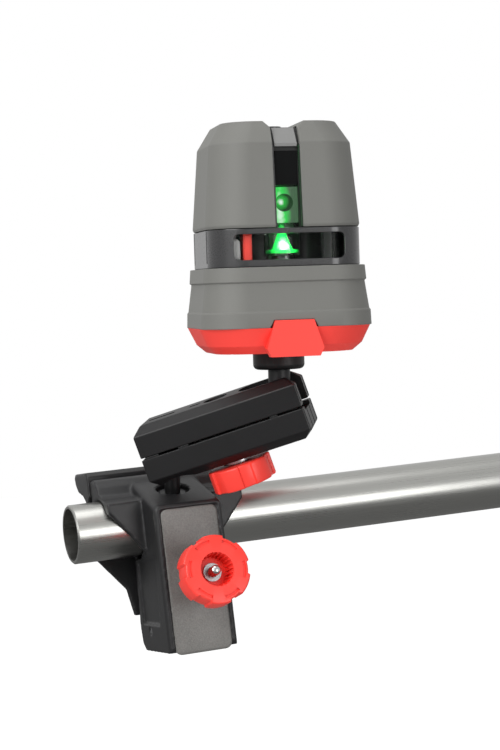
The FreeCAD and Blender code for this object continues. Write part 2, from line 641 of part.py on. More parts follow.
lower_block = shell_block("lower_shell_block", False)
lug_places = [(-arm_half + 2, -arm_half + 9.5), (-arm_half + 20, -arm_half + 25.5),
              (arm_half - 17, arm_half - 13)]
lugs = [block(f"seam_lug_{number}", (low, -arm_deep, -seam - 1), (high, -arm_deep + 3, seam - s["slip"]))
        for number, (low, high) in enumerate(lug_places)]
lower_whole = fuse("lower_shell_lugged", lower_block, *lugs)
mouth_top = 3.0
mouth = doc.addObject("Part::Cone", "lower_mouth")
mouth.Placement.Rotation = Rotation(Vector(1, 0, 0), 180)
bind(mouth, Radius1=s["neck_diameter"] / 2 + 2.2, Radius2=s["neck_diameter"] / 2 + 2.2 + (arm_up + 1) * 0.45,
     Height=arm_up + 1, Placement__Base__x=-span_half, Placement__Base__z=-mouth_top)
lower_cuts = [
    ball("lower_left_socket", socket, (-span_half, 0, 0)),
    ball("lower_right_socket", socket, (span_half, 0, 0)),
    cylinder("lower_bolt_hole", bolt_hole, s["arm_height"], (0, 0, -arm_up - 1)),
    cylinder("lower_spring_well", spring_well, 6.5, (0, 0, -6.5)),
    mouth,
    block("lower_mouth_slot", (-arm_half - 1, -s["neck_diameter"] / 2 - 2.2, -arm_up - 1),
          (-span_half, s["neck_diameter"] / 2 + 2.2, -1.5)),
    block("lower_slot_relief", (span_half, -slot_half, -2.4), (arm_half + 1, slot_half, 1)),
]
keep(cut("arm_lower_shell", lower_whole, *lower_cuts), "arm_lower_shell", ARM)

washer_depth, knob_gap = 1.5, 0.3
bolt_end = arm_up + washer_depth + knob_gap + s["arm_knob_depth"] - 2.5
bolt_shaft = cylinder("arm_bolt_shaft", "arm_screw_diameter", bolt_end + arm_up - head_depth + 1,
                      (0, 0, -bolt_end))
bolt_top = cylinder("arm_bolt_head", bolt_head, head_depth - 1.2, (0, 0, arm_up - head_depth))
keep(fuse("arm_bolt", bolt_shaft, bolt_top), "arm_bolt", ARM)
washer_disc = cylinder("arm_washer_disc", 15.0, washer_depth, (0, 0, -arm_up - washer_depth))
washer_hole = cylinder("arm_washer_hole", bolt_hole, 4, (0, 0, -arm_up - washer_depth - 1))
keep(cut("arm_washer", washer_disc, washer_hole), "arm_washer", ARM)
coil("arm_spring", spring_well - 0.8, 1.0, 3.2, 9.6, ARM * Placement(Vector(0, 0, -5.6), Rotation()))

knob_face = -(arm_up + washer_depth + knob_gap + s["arm_knob_depth"])
DOWN = ARM * Placement(Vector(0, 0, knob_face.value), Rotation(Vector(1, 0, 0), 180))
arm_nut = s["arm_screw_diameter"] + 4
keep(knob("arm_knob", "arm_knob_diameter", "arm_knob_depth", arm_nut), "arm_knob", DOWN)
arm_nut_block = cylinder("arm_nut_block", arm_nut, s["knob_floor"] + 1.5, (0, 0, -s["arm_knob_depth"]))
arm_nut_bore = cylinder("arm_nut_bore", s["arm_screw_diameter"] + 2 * s["run_gap"], s["knob_floor"] + 4,
                        (0, 0, -s["arm_knob_depth"] - 1))
keep(cut("arm_knob_nut", arm_nut_block, arm_nut_bore), "arm_knob_nut", DOWN)

collar_low = s["collar_drop"] - s["collar_depth"]
post_diameter = 8.0
upper_neck = cylinder("upper_neck", "upper_neck_diameter", collar_low, (0, 0, 0))
upper_waist = cylinder("upper_post", post_diameter, s["collar_depth"] + 1, (0, 0, collar_low - 1))
upper_thread = cylinder("upper_thread", "thread_diameter", s["thread_length"] + 1,
                        (0, 0, s["collar_drop"] - 1))
keep(fuse("upper_ball_stud", ball("upper_ball", "ball_diameter"), upper_neck, upper_waist, upper_thread),
     "upper_ball_stud", UPPER)
collar = new_body("stud_collar")
pad(collar, circles(collar, "ring", "XY", (0, 0), ["collar_diameter", post_diameter], collar_low),
    s["collar_depth"] - s["slip"])
ease(collar, 2.5, lambda edge: near(edge.BoundBox.ZMax, collar_low) and near(edge.BoundBox.XLength,
    "collar_diameter"))
keep(collar, "stud_collar", UPPER)

# ---------------------------------------------------------------- the laser level's casing
def stack(label, widths, corner_radius, shift=0):
    """A casing through round-cornered squares at rising heights."""
    part = new_body(label)
    sections = [soft_square(part, f"section_{number}", size(width) + shift, corner_radius, height)
                for number, (width, height) in enumerate(widths)]
    for number in range(len(sections) - 1):
        loft = part.newObject("PartDesign::AdditiveLoft", f"{label}_loft_{number}")
        loft.Profile = sections[number]
        loft.Sections = [sections[number + 1]]
        loft.Ruled = True
    return part


corner = s["corner_round"]
SCREW_SPOTS = [(x * s["screw_spread"] / 2, y * s["screw_spread"] / 2) for x in (-1, 1) for y in (-1, 1)]

inner_width = s["grip_width"] - 2 * s["grip_wall"]
bump_root = inner_width / 2 + s["fit_gap"]
base = stack("laser_base", [("base_foot", 0), ("base_knee", "knee_height"), ("base_width", "base_height")],
             corner)
well = soft_square(base, "well", s["base_foot"] - 2, corner - 8, s["base_height"] + 1)
pocket(base, well, s["base_height"] - 4 + 1)
bump = outline(base, "bump", "XZ", [
    (-s["bump_flare"] / 2, s["base_height"]), (-s["bump_width"] / 2, "bump_height"),
    (s["bump_width"] / 2, "bump_height"), (s["bump_flare"] / 2, s["base_height"]),
    (s["bump_flare"] / 2, 1), (s["bump_flare"] / 2 - 2, -s["bump_drop"]),
    (2 - s["bump_flare"] / 2, -s["bump_drop"]), (-s["bump_flare"] / 2, 1)], bump_root)
pad(base, bump, s["base_width"] / 2 + s["bump_out"] - bump_root)
thread_seat = circles(base, "thread_seat", "XY", (0, 0), [s["thread_diameter"] + 5], 20)
pocket(base, thread_seat, 21)
for number, (across, along) in enumerate(SCREW_SPOTS):
    for name, diameter, depth in (("head", s["screw_head"] + 0.4, 2.2), ("shank", s["base_screw"] + 0.2, 12)):
        spot = circles(base, f"screw_{name}_{number}", "XY", (across, along), [diameter])
        pocket(base, spot, depth, True)
keep(base, "laser_base", LASER)

insert_block = cylinder("thread_insert_block", s["thread_diameter"] + 5, s["thread_length"] + 1, (0, 0, 0))
insert_bore = cylinder("thread_insert_bore", s["thread_diameter"] + 2 * s["run_gap"],
                       s["thread_length"] + 3, (0, 0, -1))
keep(cut("thread_insert", insert_block, insert_bore), "thread_insert", LASER)

lock_low = s["base_height"] + 9
# a sill above the base, a ledge that it steps in at, and a waist that tapers up to a lip
skin, step, lip = size("skin_inset"), size("step_rise"), size("lip_out")
grip = stack("lower_grip", [
    (size("base_width") - skin, "base_height"), (size("base_width") - skin * 2, size("step_low") - step),
    (size("base_width") - size("ledge_inset"), "step_low"), (size("grip_width") - skin,
                                                             size("step_high") - step),
    (size("grip_width") + lip, "step_high"), ("grip_width", "grip_top")], corner)
grip_well = soft_square(grip, "well", inner_width, corner - s["grip_wall"], s["grip_top"] + 1)
pocket(grip, grip_well, s["grip_top"] - s["base_height"] + 2)
bump_way = outline(grip, "bump_way", "XZ", [
    (-s["bump_flare"] / 2 - 1, s["base_height"] - 1), (-s["bump_width"] / 2 - 0.2, s["bump_height"] + 0.2),
    (s["bump_width"] / 2 + 0.2, s["bump_height"] + 0.2), (s["bump_flare"] / 2 + 1, s["base_height"] - 1)],
    s["base_width"] / 2 + 1)
pocket(grip, bump_way, 9)
door_low = s["base_height"] + 4
door_way = rectangle(grip, "door_way", "XZ", (-s["door_width"] / 2, s["door_width"] / 2),
                     (door_low, door_low + s["door_height"]), -s["base_width"] / 2 - 1)
pocket(grip, door_way, 9, True)
hinge_at = (s["grip_width"] / 2 - 1.35, door_low + 2.0)
door_pin_hole = circles(grip, "door_pin_hole", "YZ", hinge_at, ["hinge_pin"], -s["door_width"] / 2 - 2)
pocket(grip, door_pin_hole, s["door_width"] + 4, True)
lock_way = rectangle(grip, "lock_way", "YZ", (1, 19), (lock_low - 1, lock_low + 5), s["grip_width"] / 2 - 8)
pocket(grip, lock_way, 12, True)
keep(grip, "lower_grip", LASER)

tub = new_body("lower_housing")
tub_width = inner_width - 2 * s["slip"]
pad(tub, soft_square(tub, "plan", tub_width, corner - s["grip_wall"], s["base_height"] + 0.1),
    s["grip_top"] - s["base_height"] - 0.2)
tub_well = soft_square(tub, "well", tub_width - 2 * s["core_wall"], corner - s["grip_wall"] - s["core_wall"],
                       s["grip_top"] + 1)
pocket(tub, tub_well, s["grip_top"] - s["base_height"] - 2)
tub_door = rectangle(tub, "door_way", "XZ", (2 - s["door_width"] / 2, s["door_width"] / 2 - 2),
                     (door_low + 1, door_low + s["door_height"] - 2), -s["base_width"] / 2 - 1)
pocket(tub, tub_door, 12, True)
tub_middle = circles(tub, "stud_way", "XY", (0, 0), [16.0], 30)
pocket(tub, tub_middle, 31)
tub_lock_way = rectangle(tub, "lock_way", "YZ", (3, 17), (lock_low - 0.5, lock_low + 3.5), 30)
pocket(tub, tub_lock_way, 12, True)
for number, (across, along) in enumerate(SCREW_SPOTS):
    spot = circles(tub, f"screw_{number}", "XY", (across, along), ["base_screw"])
    pocket(tub, spot, 20, True)
keep(tub, "lower_housing", LASER)

band = new_body("middle_band")
pad(band, soft_square(band, "plan", "band_width", corner - 2, s["grip_top"] + 0.1),
    s["band_top"] - s["grip_top"] - 0.2)
band_inner = s["band_width"] - 2 * s["band_wall"]
band_well = soft_square(band, "well", band_inner, corner - 2 - s["band_wall"], s["band_top"] + 1)
pocket(band, band_well, s["band_top"] - s["grip_top"] + 2)
window = rectangle(band, "window", "XZ", (-s["window_width"] / 2, s["window_width"] / 2),
                   ("window_low", "window_high"), s["band_width"] / 2 + 1)
pocket(band, window, 16)
keep(band, "middle_band", LASER)

glass = new_body("horizontal_window")
glass_width = band_inner - 2 * s["slip"]
pad(glass, soft_square(glass, "plan", glass_width, corner - 2 - s["band_wall"], s["window_low"] - 2),
    s["window_high"] - s["window_low"] + 4)
glass_well = soft_square(glass, "well", glass_width - 2 * s["glass_thickness"],
                         corner - 2 - s["band_wall"] - s["glass_thickness"], s["window_high"] + 3)
pocket(glass, glass_well, 30)
glass_back = rectangle(glass, "back", "XY", (-50, 50), (-s["band_width"] / 2 + 14, 50), s["window_high"] + 3)
pocket(glass, glass_back, 30)
keep(glass, "horizontal_window", LASER)


crown = [(s["wing_width"], s["band_top"]), (s["wing_shoulder"], s["shoulder_height"]),
         (s["wing_crown"], s["laser_height"])]
core_drop = s["wing_wall"]
core_levels = [(s["wing_width"], s["band_top"]), (s["wing_shoulder"], s["shoulder_height"] - 1),
               (s["wing_crown"], s["laser_height"] - core_drop)]
core_shift = -2 * s["wing_wall"] - 2 * s["slip"]
half_slot = s["slot_width"] / 2
for side, sign in (("left", -1), ("right", 1)):
    outer = stack(f"{side}_wing_outer", crown, corner - 1)
    inner = stack(f"{side}_wing_inner", core_levels, corner - 1 - s["wing_wall"], -2 * s["wing_wall"])
    floor = block(f"{side}_wing_floor", (-60, -60, s["band_top"] - 5), (60, 60, s["band_top"] + 0.1))
    if sign < 0:
        middle = block(f"{side}_wing_split", (-half_slot, -60, 0), (60, 60, 150))
    else:
        middle = block(f"{side}_wing_split", (-60, -60, 0), (half_slot, 60, 150))
    keep(cut(f"{side}_wing", outer, inner, floor, middle), f"{side}_wing", LASER)

core_outer = stack("core_outer", core_levels, corner - 1 - s["wing_wall"], core_shift)
core_inner = stack("core_inner", [(s["wing_width"], s["band_top"]),
                                  (s["wing_shoulder"], s["shoulder_height"] - 3),
                                  (s["wing_crown"], s["laser_height"] - core_drop - s["core_wall"])],
                   corner - 1 - s["wing_wall"] - s["core_wall"], core_shift - 2 * s["core_wall"])
core_front = -s["wing_width"] / 2
lens_height, pane_low, pane_high = 72.3, 80.2, 96.8
core_cuts = [
    core_inner,
    block("core_floor", (-60, -60, s["band_top"] - 5), (60, 60, s["band_top"] + 0.1)),
    block("core_beam_way", (1.2 - half_slot, core_front - 2, s["band_top"] - 1),
          (half_slot - 1.2, -20, pane_high)),
    cylinder("core_button_hole", s["button_diameter"] + 2 * s["fit_gap"], 30, (0, 0, s["laser_height"] - 15)),
]
keep(cut("upper_core", core_outer, *core_cuts), "upper_core", LASER)

# ---------------------------------------------------------------- optics seen in the slot
gap = s["slip"]
core_shoulder = s["wing_shoulder"] / 2 - s["wing_wall"] - s["slip"]
core_crown = s["wing_crown"] / 2 - s["wing_wall"] - s["slip"]
core_top = s["laser_height"] - core_drop
shoulder_at = s["shoulder_height"] - 1
trim = new_body("slot_insert")
trim_low = pane_high + 2.0
trim_side = outline(trim, "side", "YZ", [
    (-core_shoulder - 0.35, trim_low), (-core_shoulder - 1.8, trim_low), (-core_shoulder - 1.7,
        shoulder_at + 0.5),
    (-core_crown - 1.3, core_top - 0.2), (-core_crown - 0.2, core_top - 0.2),
    (-core_shoulder - gap, shoulder_at)], -half_slot + 1.3)
pad(trim, trim_side, s["slot_width"] - 2.6)
keep(trim, "slot_insert", LASER)
pane = block("beam_pane", (1.4 - half_slot, -core_shoulder - 1.0, pane_low + 0.1),
             (half_slot - 1.4, -core_shoulder + 0.6, pane_high - 0.1))
keep(group("beam_window", pane), "beam_window", LASER)
clear = block("slot_glass", (1.4 - half_slot, -core_shoulder - 1.6, s["band_top"] + 0.2),
              (half_slot - 1.4, -core_shoulder, pane_low - 0.1))
keep(group("slot_window", clear), "slot_window", LASER)

# ---------------------------------------------------------------- chassis, gimbal and pendulum
pivot = s["gimbal_height"]
floor_top = s["base_height"] + 3
post_out, post_in = 28.0, 24.0
pin_width = s["pivot_pin"]
pin_bore = pin_width + 2 * s["run_gap"]
chassis_parts = [block("chassis_bridge", (-post_out, -3, pivot + 4), (post_out, 3, pivot + 7)),
                 block("window_block", (-post_out, -28, s["window_low"] - 1),
                       (-post_in - 0.4, -2, s["window_high"] + 1))]
for side, (low, high) in (("left", (-post_out, -post_in)), ("right", (post_in, post_out))):
    chassis_parts.append(block(f"chassis_{side}_post", (low, -3, floor_top), (high, 3, pivot + 5)))
    foot_in = (low, -13.6) if side == "left" else (13.6, high)
    chassis_parts.append(block(f"chassis_{side}_foot", (foot_in[0], -3, floor_top),
                               (foot_in[1], 3, floor_top + 2.5)))
chassis_bore = cylinder("chassis_bore", pin_bore, 2 * post_out + 2, (-post_out - 1, 0, pivot), cross)
keep(cut("chassis", fuse("chassis_whole", *chassis_parts), chassis_bore), "chassis", LASER)

ring_outer = cylinder("gimbal_outer", "ring_diameter", 4, (0, 0, pivot - 2))
ring_inner = cylinder("gimbal_inner", s["ring_diameter"] - 6, 6, (0, 0, pivot - 3))
ring_pins = cylinder("gimbal_pins", pin_width, 2 * post_out - 1, (0.5 - post_out, 0, pivot), cross)
ring_bores = cylinder("gimbal_bores", pin_bore, s["ring_diameter"] + 2,
                      (0, -s["ring_diameter"] / 2 - 1, pivot),
                      Vector(0, 1, 0))
keep(cut("gimbal_ring", fuse("gimbal_whole", ring_outer, ring_pins), ring_inner, ring_bores),
     "gimbal_ring", LASER)

module = s["module_diameter"]
cone_y = -s["cone_out"]
weight_low = s["base_height"] + 16
pendulum_parts = [
    cylinder("pendulum_pin", pin_width, s["ring_diameter"] - 1, (0, 0.5 - s["ring_diameter"] / 2, pivot),
             Vector(0, 1, 0)),
    block("pendulum_hanger", (-5, -5, 84), (5, 5, pivot + 1.5)),
    block("pendulum_block", (-8, -12, 60), (8, 9, 86)),
    block("pendulum_leg", (-5, -7.8, weight_low), (5, -2, 62)),
    block("pendulum_front_clamp", (-7.5, cone_y - 4, s["cone_top"]), (7.5, -11, lens_height + 7.5)),
    block("pendulum_low_clamp", (-7.5, cone_y - module / 2 - 1.8, weight_low), (7.5, -4, weight_low + 10)),
]
forward = Vector(0, 1, 0)
pendulum_cuts = [
    cylinder("front_module_bore", module + 2 * s["slip"], 20, (0, cone_y - 8, lens_height), forward),
    cylinder("low_module_bore", module + 2 * s["slip"], 30, (0, cone_y, weight_low - 10)),
]
keep(cut("pendulum", fuse("pendulum_whole", *pendulum_parts), *pendulum_cuts), "pendulum", LASER)
lens_bore = cylinder("lens_bore", module - 4, 3, (0, cone_y - 9, lens_height), forward)
barrel_solid = cylinder("front_barrel", module, 20, (0, cone_y - 8, lens_height), forward)
keep(cut("front_module", barrel_solid, lens_bore), "front_module", LASER)
keep(group("front_lens", cylinder("lens_disc", module - 4, 1.2, (0, cone_y - 7.4, lens_height), forward)),
     "front_lens", LASER)
keep(group("cone_module", cylinder("cone_barrel", module, s["cone_low"] - weight_low - 0.2,
                                   (0, cone_y, weight_low))), "cone_module", LASER)
keep(group("pendulum_weight", cylinder("weight_drum", 15.0, 10, (0, 5.6, weight_low))), "pendulum_weight",
     LASER)

cone = new_body("cone_prism")
cone_neck, cone_mid = 3.4, (s["cone_low"] + s["cone_top"]) / 2
bell = outline(cone, "bell", "XZ", [
    (0, s["cone_low"]), (s["cone_base"] / 2, s["cone_low"]), (s["cone_base"] / 2, s["cone_low"] + 2.4),
    (s["cone_base"] / 2 - 2.0, s["cone_low"] + 6), (cone_neck + 1.0, cone_mid + 1), (cone_neck, cone_mid + 4),
    (cone_neck, "cone_top"), (0, "cone_top")])
turn(cone, bell)
cone_spot = LASER * Placement(Vector(0, cone_y.value, 0), Rotation())
keep(cone, "cone_prism", cone_spot)

magnet_block = cylinder("magnet_block", 26.0, 3.5, (0, 0, floor_top))
magnet_bore = cylinder("magnet_bore", 17.0, 6, (0, 0, floor_top - 1))
keep(cut("damping_magnet", magnet_block, magnet_bore), "damping_magnet", LASER)

# ---------------------------------------------------------------- lock, switch, board and battery
lock_near, lock_far = 5.0, 9.0
flag_left, flag_right = -21.9, -17.7
bar_parts = [
    block("lock_crossbar", (flag_left, lock_near, lock_low),
          (s["grip_width"] / 2 - 2.5, lock_far, lock_low + 3)),
    block("lock_foot", (flag_left, -27, lock_low), (flag_right, lock_far, lock_low + 3)),
]
keep(fuse("lock_bar", *bar_parts), "lock_bar", LASER)
keep(group("lock_flag", block("lock_post", (flag_left, -27, lock_low + 3),
                              (flag_right, -23, s["window_high"] + 0.3))),
     "lock_flag", LASER)
keep(group("lock_slider", block("lock_grip", (s["grip_width"] / 2 - 2.5, lock_near - 1.5, lock_low - 0.7),
                                (s["grip_width"] / 2 + 2.4, lock_far + 1.5,
                                 lock_low + 3.7))), "lock_slider", LASER)

button_top = core_top + 2.4
button_cap = cylinder("button_cap", "button_diameter", 6, (0, 0, button_top - 6))
flange_top = core_top - s["core_wall"] - gap
button_flange = cylinder("button_flange", s["button_diameter"] + 3, 1.1, (0, 0, flange_top - 1.1))
keep(fuse("mode_button", button_cap, button_flange), "mode_button", LASER)
switch_top = button_top - 6 - s["button_travel"] - 0.1
keep(group("button_switch", block("switch_case", (-3, -3, pivot + 7), (3, 3, switch_top))),
     "button_switch", LASER)
keep(group("circuit_board", block("board_sheet", (-17, 28.0, s["band_top"] + 2),
                                  (17, 29.6, s["band_top"] + 28))),
     "circuit_board", LASER)

cell_y = s["grip_width"] / 2 - 14.2
cell_low = floor_top + s["cell_diameter"] / 2 + 0.2
cells = [cylinder(f"cell_{number}", "cell_diameter", "cell_length", (-s["cell_length"] / 2, cell_y, level),
                  cross)
         for number, level in enumerate((cell_low, cell_low + s["cell_diameter"] + 0.4))]
keep(group("battery_cells", *cells), "battery_cells", LASER)
contacts = [block(f"contact_{side}", (low, cell_y - 6, floor_top), (low + 0.8, cell_y + 6, s["grip_top"] - 1))
            for side, low in (("left", -s["cell_length"] / 2 - 1.0), ("right", s["cell_length"] / 2 + 0.2))]
keep(group("battery_contacts", *contacts), "battery_contacts", LASER)

door = new_body("battery_door")
door_plate = rectangle(door, "plate", "XZ", (s["fit_gap"] - s["door_width"] / 2,
                                             s["door_width"] / 2 - s["fit_gap"]),
                       (door_low + s["fit_gap"] + 0.5, door_low + s["door_height"] - s["fit_gap"]),
                       -s["grip_width"] / 2 + 2.5)
pad(door, door_plate, 2.3, True)
door_bore = circles(door, "pin_bore", "YZ", hinge_at, [s["hinge_pin"] + 2 * s["run_gap"]],
                    -s["door_width"] / 2)
pocket(door, door_bore, s["door_width"], True)
keep(door, "battery_door", LASER)
keep(group("door_hinge_pin", cylinder("door_pin", "hinge_pin", s["door_width"] + 3.6,
                                      (-s["door_width"] / 2 - 1.8,
                                       *hinge_at), cross)), "door_hinge_pin", LASER)

screws = []
for number, (across, along) in enumerate(SCREW_SPOTS):
    head = cylinder(f"base_screw_head_{number}", "screw_head", 2, (across, along, 0.2))
    shank = cylinder(f"base_screw_shank_{number}", "base_screw", floor_top - 1, (across, along, 1))
    screws.append(fuse(f"base_screw_{number}", head, shank))
keep(group("base_screws", *screws), "base_screws", LASER)

# ---------------------------------------------------------------- check and write
doc.recompute()
for thing in doc.Objects:
    if "Invalid" in thing.State or "Error" in thing.State:
        raise ValueError(f"{thing.Label} did not recompute: {thing.State}")
os.makedirs("parts", exist_ok=True)
for thing, label in subparts:
    shape = thing.Shape
    if shape.isNull() or not shape.isValid() or not shape.Solids:
        raise ValueError(f"{label} has no valid solid")
for thing, label in subparts:
    thing.Shape.exportStep(f"parts/{label}.step")
    print(label, len(thing.Shape.Solids), round(thing.Shape.Volume, 1))
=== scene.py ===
import json
import math
import bmesh
import bpy
from mathutils import Matrix, Vector


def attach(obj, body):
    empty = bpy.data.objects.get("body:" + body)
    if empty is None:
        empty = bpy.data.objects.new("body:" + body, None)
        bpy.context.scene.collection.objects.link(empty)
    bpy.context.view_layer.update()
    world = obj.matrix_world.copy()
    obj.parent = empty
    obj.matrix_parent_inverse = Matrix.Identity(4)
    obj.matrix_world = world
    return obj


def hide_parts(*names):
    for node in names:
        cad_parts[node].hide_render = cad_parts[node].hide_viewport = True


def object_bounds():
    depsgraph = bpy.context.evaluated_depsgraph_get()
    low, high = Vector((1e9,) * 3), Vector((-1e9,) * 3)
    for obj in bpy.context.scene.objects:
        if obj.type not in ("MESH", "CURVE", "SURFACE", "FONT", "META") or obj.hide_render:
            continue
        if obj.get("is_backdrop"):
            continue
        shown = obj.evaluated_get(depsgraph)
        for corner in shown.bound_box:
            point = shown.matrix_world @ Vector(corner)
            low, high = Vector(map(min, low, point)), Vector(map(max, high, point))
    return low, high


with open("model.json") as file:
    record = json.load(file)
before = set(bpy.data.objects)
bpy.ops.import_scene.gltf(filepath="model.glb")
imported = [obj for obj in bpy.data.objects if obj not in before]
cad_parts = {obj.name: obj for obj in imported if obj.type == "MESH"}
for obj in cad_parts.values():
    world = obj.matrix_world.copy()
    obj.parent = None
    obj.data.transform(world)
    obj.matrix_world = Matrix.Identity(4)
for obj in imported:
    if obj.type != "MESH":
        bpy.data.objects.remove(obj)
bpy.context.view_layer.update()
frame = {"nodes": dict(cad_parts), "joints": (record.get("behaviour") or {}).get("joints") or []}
scene = bpy.context.scene
scene.view_settings.view_transform = "Standard"
print("frame loaded:", len(frame["nodes"]), "nodes")

# Every piece is modelled in millimetres in the frame of what carries it, and settled into the row's metres
millimetre = 0.001
joints = {joint["name"]: joint for joint in frame["joints"]}


def axisOf(name):
    return Vector(joints[name]["axis"]).normalized()


def placeOf(name):
    return Vector(joints[name]["pos_m"])


def frameFrom(origin, across, up):
    up = up.normalized()
    along = up.cross(across).normalized()
    turn = Matrix((along.cross(up), along, up)).transposed().to_4x4()
    return Matrix.Translation(origin) @ turn @ Matrix.Scale(millimetre, 4)


screwTilt = math.radians(12)
tubeAxis = axisOf("clamp_turn")
screwAxis = axisOf("screw_knob_turn")
clampCentre = placeOf("clamp_turn") + tubeAxis * (placeOf("jaw_open") - placeOf("clamp_turn")).dot(tubeAxis)
clampUp = screwAxis * math.sin(screwTilt) - tubeAxis.cross(screwAxis) * math.cos(screwTilt)
armUp = -axisOf("middle_knob_turn")
clampFrame = frameFrom(clampCentre, tubeAxis, clampUp)
screwFrame = frameFrom(placeOf("screw_knob_turn"), tubeAxis, screwAxis)
armFrame = frameFrom(placeOf("middle_knob_turn"), axisOf("upper_tilt").cross(armUp), armUp)
laserFrame = frameFrom(placeOf("laser_swivel"), axisOf("gimbal_roll"), Vector((0, 0, 1)))


def localBox(node, place):
    back = place.inverted()
    spots = [back @ vertex.co for vertex in frame["nodes"][node].data.vertices]
    low = Vector([min(spot[k] for spot in spots) for k in range(3)])
    high = Vector([max(spot[k] for spot in spots) for k in range(3)])
    return low, high


# camera

cameraSettings = {"place": (-0.50898, -0.9089, 0.11046), "aim": (0.36077, 0.93146, -0.04719),
                  "right": (0.9315, -0.36238, -0.03142), "lens": 89.72, "sensor": 36, "nearest": 0.05}


def addCamera(settings):
    bpy.ops.object.camera_add()
    camera = bpy.context.object
    camera.name = "camera"
    right = Vector(settings["right"]).normalized()
    back = -Vector(settings["aim"]).normalized()
    up = back.cross(right)
    camera.matrix_world = Matrix.Translation(settings["place"]) @ Matrix((right, up, back)).transposed().to_4x4()
    camera.data.lens = settings["lens"]
    camera.data.sensor_width = settings["sensor"]
    camera.data.clip_start = settings["nearest"]
    scene.camera = camera


addCamera(cameraSettings)


def setValues(node, values):
    for socket, value in values.items():
        node.inputs[socket].default_value = value


def mathNode(tree, operation, first, second=None, third=None):
    node = tree.nodes.new("ShaderNodeMath")
    node.operation = operation
    for number, value in enumerate((first, second, third)):
        if value is None:
            continue
        if isinstance(value, (int, float)):
            node.inputs[number].default_value = value
        else:
            tree.links.new(value, node.inputs[number])
    return node.outputs[0]


# lamps and world

lampTarget = (-0.15, 0, 0.06)
lampSettings = [
    {"name": "leftSoftbox", "place": (-1.6, -0.9, 0.9), "size": 1.1, "power": 26},
    {"name": "rightSoftbox", "place": (0.22, -1.15, 0.14), "size": 0.46, "power": 3.0},
    {"name": "topSoftbox", "place": (-0.3, -0.1, 1.5), "size": 1.2, "power": 9},
]
worldSettings = {"fill": 0.3, "seen": 1.0, "reflected": 0.7}


def addLamps(settings, target):
    for lamp in settings:
        bpy.ops.object.light_add(type="AREA", location=lamp["place"])
        light = bpy.context.object
        light.name = lamp["name"]
        light.rotation_euler = (Vector(target) - Vector(lamp["place"])).to_track_quat("-Z", "Y").to_euler()
        light.data.shape = "SQUARE"
        light.data.size = lamp["size"]
        light.data.energy = lamp["power"]


def addWorld(settings):
    world = bpy.data.worlds.new("studio")
    scene.world = world
    world.use_nodes = True
    tree = world.node_tree
    background = tree.nodes["Background"]
    path = tree.nodes.new("ShaderNodeLightPath")
    direct = mathNode(tree, "MAXIMUM", path.outputs["Is Camera Ray"], path.outputs["Is Transmission Ray"])
    seen = mathNode(tree, "MULTIPLY_ADD", direct, settings["seen"] - settings["fill"], settings["fill"])
    mirrored = mathNode(tree, "MULTIPLY", path.outputs["Is Glossy Ray"], settings["reflected"] - settings["fill"])
    tree.links.new(mathNode(tree, "ADD", seen, mirrored), background.inputs["Strength"])
    background.inputs["Color"].default_value = (1, 1, 1, 1)


addLamps(lampSettings, lampTarget)
addWorld(worldSettings)
print("camera and lamps set")

# shared finishes


def hexColour(code):
    parts = [int(code[k:k + 2], 16) / 255 for k in (0, 2, 4)]
    return tuple((part / 12.92 if part <= 0.04045 else ((part + 0.055) / 1.055) ** 2.4) for part in parts) + (1.0,)


def addSockets(group, inputs, outputs):
    for name, kind, value in inputs:
        socket = group.interface.new_socket(name, in_out="INPUT", socket_type=kind)
        if value is not None:
            socket.default_value = value
    for name, kind in outputs:
        group.interface.new_socket(name, in_out="OUTPUT", socket_type=kind)


def noiseNode(tree, where, scale, detail):
    node = tree.nodes.new("ShaderNodeTexNoise")
    setValues(node, {"Detail": detail})
    tree.links.new(where, node.inputs["Vector"])
    if isinstance(scale, (int, float)):
        node.inputs["Scale"].default_value = scale
    else:
        tree.links.new(scale, node.inputs["Scale"])
    return node.outputs["Fac"]


def tintBy(group, ends, out, shift, reach):
    gain = mathNode(group, "MULTIPLY_ADD", shift, mathNode(group, "MULTIPLY", ends.outputs["Spread"], reach), 1.0)
    tint = group.nodes.new("ShaderNodeVectorMath")
    tint.operation = "SCALE"
    group.links.new(ends.outputs["Colour"], tint.inputs[0])
    group.links.new(gain, tint.inputs["Scale"])
    group.links.new(tint.outputs["Vector"], out.inputs["Colour"])


# Moulded or rubbery skin: fine grain, slow blotches in colour, and a roughness that wanders a little
def makeSkinGroup():
    group = bpy.data.node_groups.new("mouldedSkin", "ShaderNodeTree")
    addSockets(group, [("Colour", "NodeSocketColor", (0.5, 0.5, 0.5, 1)), ("Grain size", "NodeSocketFloat", 2500.0),
                       ("Blotch size", "NodeSocketFloat", 40.0), ("Spread", "NodeSocketFloat", 0.06),
                       ("Roughness", "NodeSocketFloat", 0.5), ("Rough spread", "NodeSocketFloat", 0.08)],
               [("Colour", "NodeSocketColor"), ("Roughness", "NodeSocketFloat"), ("Height", "NodeSocketFloat")])
    ends = group.nodes.new("NodeGroupInput")
    out = group.nodes.new("NodeGroupOutput")
    where = group.nodes.new("ShaderNodeTexCoord").outputs["Object"]
    grain = noiseNode(group, where, ends.outputs["Grain size"], 3.0)
    blotch = noiseNode(group, where, ends.outputs["Blotch size"], 4.0)
    grainShare = 0.45
    both = mathNode(group, "MULTIPLY_ADD", grain, grainShare, mathNode(group, "MULTIPLY", blotch, 1 - grainShare))
    shift = mathNode(group, "SUBTRACT", both, 0.5)
    tintBy(group, ends, out, shift, 4.0)
    rough = mathNode(group, "MULTIPLY_ADD", shift, ends.outputs["Rough spread"], ends.outputs["Roughness"])
    group.links.new(rough, out.inputs["Roughness"])
    group.links.new(grain, out.inputs["Height"])
    return group


